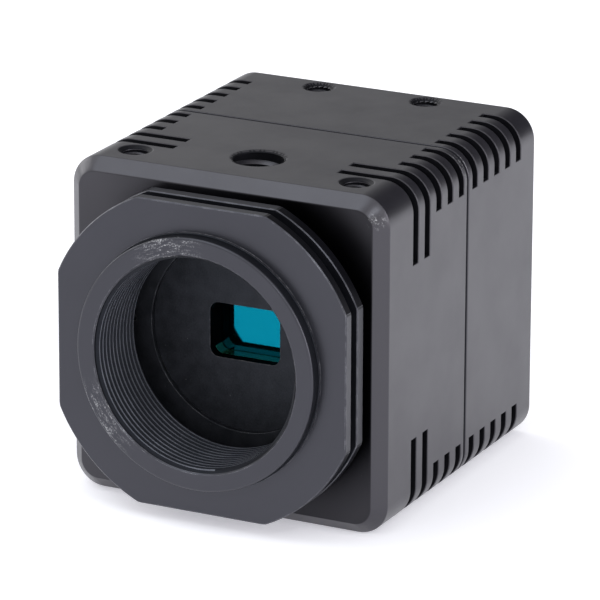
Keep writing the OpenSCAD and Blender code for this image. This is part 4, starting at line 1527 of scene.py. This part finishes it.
@dataclass
class Electronics:
    """The main board, its parts, the cable and the two sockets in the rear wall.

    Attributes:
        tongue: the data socket's middle, x and z.
        contacts: contacts on each side of its tongue.
        edge: width of the sockets' broken edges.
    """

    tongue: Point = (-4.6, -13.77)
    contacts: int = 12
    edge: float = 0.08

    def build(self) -> None:
        """Makes the contacts, legs and lamp, and dresses the boards."""
        self._contacts()
        self._chip_legs()
        self._lamp()
        for node, name, finish in (("usb_socket_shell", "data_socket_shell", STEEL),
                                   ("power_socket", "power_socket_body", SOCKET_PLASTIC)):
            soften(node, name, finish, self.edge)
        dress_all({"main_board": BOARD, "main_board_chips": CHIP, "main_board_headers": HEADER,
                   "main_board_screws": STEEL, "flex_cable": FILM,
                   "usb_socket_tongue": SOCKET_PLASTIC, "power_socket_pin": STEEL})

    def _bar(self, mesh: bmesh.types.BMesh, low: Place, high: Place) -> None:
        """Adds a small bar with broken edges.

        Args:
            mesh: where it is added.
            low: its lowest corner.
            high: its highest corner.
        """
        size = [h - l for l, h in zip(low, high)]
        middle = [(h + l) / 2 for l, h in zip(low, high)]
        matrix = Matrix.Translation(Vector(middle) * MM) @ \
            Matrix.Diagonal((size[0] * MM, size[1] * MM, size[2] * MM, 1.0))
        verts = bmesh.ops.create_cube(mesh, size=1.0, matrix=matrix)["verts"]
        edges = list({edge for vert in verts for edge in vert.link_edges})
        bmesh.ops.bevel(mesh, geom=edges, offset=min(size) * 0.2 * MM, offset_type="OFFSET",
                        segments=1, profile=0.5, affect="EDGES", material=-1,
                        clamp_overlap=True)

    def _contacts(self) -> None:
        """Lays the gold contacts on both faces of the data socket's tongue."""
        x, z = self.tongue
        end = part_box("usb_socket_tongue")[1].y / MM
        mesh = bmesh.new()
        for index in range(self.contacts):
            at = x - 2.75 + index * 5.5 / (self.contacts - 1)
            for side in (-1, 1):
                face = z + side * 0.35
                self._bar(mesh, (at - 0.13, end - 3.6, min(face, face + side * 0.04)),
                          (at + 0.13, end - 0.35, max(face, face + side * 0.04)))
        publish("data_socket_contacts", mesh, BRASS, Body.HOUSING)

    def _chip_legs(self) -> None:
        """Sets rows of legs along the two chips of the main board."""
        mesh = bmesh.new()
        base = -15.4
        for low_x, high_x, low_y, high_y in ((-6.5, 0.0, 33.2, 39.6), (1.4, 5.6, 33.4, 37.2)):
            count = int((high_y - low_y - 0.6) / 0.5)
            for index in range(count):
                y = low_y + 0.45 + index * 0.5
                for inner, outer in ((low_x, low_x - 0.45), (high_x, high_x + 0.45)):
                    self._bar(mesh, (min(inner, outer), y, base), (max(inner, outer), y + 0.22,
                                                                  base + 0.16))
        publish("chip_legs", mesh, STEEL, Body.HOUSING)

    def _lamp(self) -> None:
        """Turns the status light's domed lens and joins its body."""
        low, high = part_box("status_light")
        x, z = 10.6, -12.8
        end = high.y / MM
        mesh = bmesh.new()
        dome = [(0.0, end), (0.35, end - 0.04), (0.62, end - 0.16), (0.8, end - 0.36),
                (0.9, end - 0.62), (0.9, end - 3.9), (0.0, end - 3.9)]
        turn(mesh, dome, 36, (x, z), closed=False)
        bmesh.ops.remove_doubles(mesh, verts=mesh.verts[:], dist=1e-7)
        self._bar(mesh, (x - 0.8, end - 5.1, low.z / MM), (x + 0.8, end - 3.9, z + 0.8))
        publish("status_light_lens", mesh, LENS_LIGHT, Body.HOUSING, ["status_light"])


# ---------------------------------------------------------------- studio


@dataclass(frozen=True)
class Softbox:
    """A square area light that faces the camera body.

    Attributes:
        name: its name.
        place: where it hangs, in metres.
        size: its side, in metres.
        watts: its power.
        colour: its colour.
        aim: what it faces, in metres.
    """

    name: str
    place: Place
    size: float
    watts: float
    colour: Colour = (1.0, 1.0, 1.0)
    aim: Place = (0.0, 0.02, 0.0)

    def hang(self) -> None:
        """Adds the light to the scene."""
        data = bpy.data.lights.new(self.name, "AREA")
        data.shape = "SQUARE"
        data.size = self.size
        data.energy = self.watts
        data.color = self.colour
        lamp = bpy.data.objects.new(self.name, data)
        away = Vector(self.place) - Vector(self.aim)
        lamp.matrix_world = Matrix.Translation(self.place) @ \
            away.to_track_quat("Z", "Y").to_matrix().to_4x4()
        bpy.context.scene.collection.objects.link(lamp)


@dataclass
class Studio:
    """The pale floor, the soft light and the camera.

    Attributes:
        place: the camera's place in metres.
        azimuth: how far it stands to the right of the optical axis, in degrees.
        elevation: how far it looks down, in degrees.
        roll: how far it leans, in degrees.
        lens: its focal length on a 36 mm sensor.
    """

    place: Place = (0.24993, -0.47447, 0.18452)
    azimuth: float = 26.5046
    elevation: float = 18.2409
    roll: float = 0.20472
    lens: float = 304.3
    softboxes: Tuple[Softbox, ...] = (
        Softbox("softbox_right", (0.60, 0.02, 0.16), 0.35, 1.3, (0.97, 0.95, 1.0)),
        Softbox("softbox_left", (-0.55, 0.10, 0.22), 0.30, 0.6),
        Softbox("softbox_top", (-0.20, -0.22, 0.70), 0.50, 1.1, (0.84, 0.92, 1.0)),
        Softbox("softbox_key", (0.42, -0.40, 0.52), 0.12, 0.50, (0.90, 0.95, 1.0)),
    )

    def build(self) -> None:
        """Sets up the floor, the sky, the lights and the camera."""
        self._floor()
        self._sky()
        for box in self.softboxes:
            box.hang()
        self._camera()
        bpy.context.scene.view_settings.view_transform = "Standard"

    def _floor(self) -> None:
        """Lays a plain pale floor under the camera body."""
        low = CAD_BOX[0]
        mesh = bmesh.new()
        bmesh.ops.create_grid(mesh, x_segments=4, y_segments=4, size=3.0,
                              matrix=Matrix.Translation((0.0, 0.0, low[2] - 0.05 * MM)))
        data = bpy.data.meshes.new("floor")
        mesh.to_mesh(data)
        mesh.free()
        made, graph, shader = new_material("floor_paper", {
            "Roughness": 0.9, "Specular IOR Level": 0.2,
            "Emission Color": (0.93, 0.92, 1.0, 1.0), "Emission Strength": 0.42})
        fibre = graph.noise(graph.millimetres(), 1.5, 3.0, 0.6)
        colour = graph.mix(fibre, (0.87, 0.87, 0.875, 1.0), (0.89, 0.89, 0.895, 1.0))
        graph.feed(shader.inputs["Base Color"], colour)
        data.materials.append(made)
        floor = bpy.data.objects.new("floor", data)
        bpy.context.scene.collection.objects.link(floor)

    def _sky(self) -> None:
        """Makes the surroundings a soft white that dims towards the back, the right and the top."""
        world = bpy.data.worlds.new("studio")
        world.use_nodes = True
        graph = Graph(world.node_tree)
        towards = graph.add("TexCoord").outputs["Generated"]
        behind = graph.add("VectorMath", {0: towards, 1: (0.28, 0.84, 0.46)},
                           operation="DOT_PRODUCT").outputs["Value"]
        strength = graph.remap(behind, 0.44, 0.95, 1.0, 0.04)
        sky = graph.add("Background", {"Color": (0.985, 0.99, 1.0, 1.0), "Strength": strength})
        output = graph.add("OutputWorld")
        graph.feed(output.inputs["Surface"], sky.outputs[0])
        bpy.context.scene.world = world

    def _camera(self) -> None:
        """Places the camera."""
        a, e, r = (math.radians(v) for v in (self.azimuth, self.elevation, self.roll))
        ahead = Vector((-math.sin(a) * math.cos(e), math.cos(a) * math.cos(e), -math.sin(e)))
        level = Vector((math.cos(a), math.sin(a), 0.0))
        upright = level.cross(ahead)
        right = math.cos(r) * level + math.sin(r) * upright
        above = -math.sin(r) * level + math.cos(r) * upright
        turned = Matrix((right, above, -ahead)).transposed().to_4x4()
        data = bpy.data.cameras.new("camera")
        data.lens = self.lens
        data.sensor_width = 36.0
        data.clip_start = 0.01
        data.clip_end = 20.0
        view = bpy.data.objects.new("camera", data)
        view.matrix_world = Matrix.Translation(self.place) @ turned
        bpy.context.scene.collection.objects.link(view)
        bpy.context.scene.camera = view


def main() -> None:
    """Builds the studio and every sub-assembly, in order."""
    logging.basicConfig(level=logging.INFO, format="%(message)s")
    for part in (Studio(), LensMount(), Shells(), SensorWindow(), ImageSensor(), Cooler(),
                 CoolingFan(), Electronics()):
        part.build()


if __name__ == "__main__":
    main()
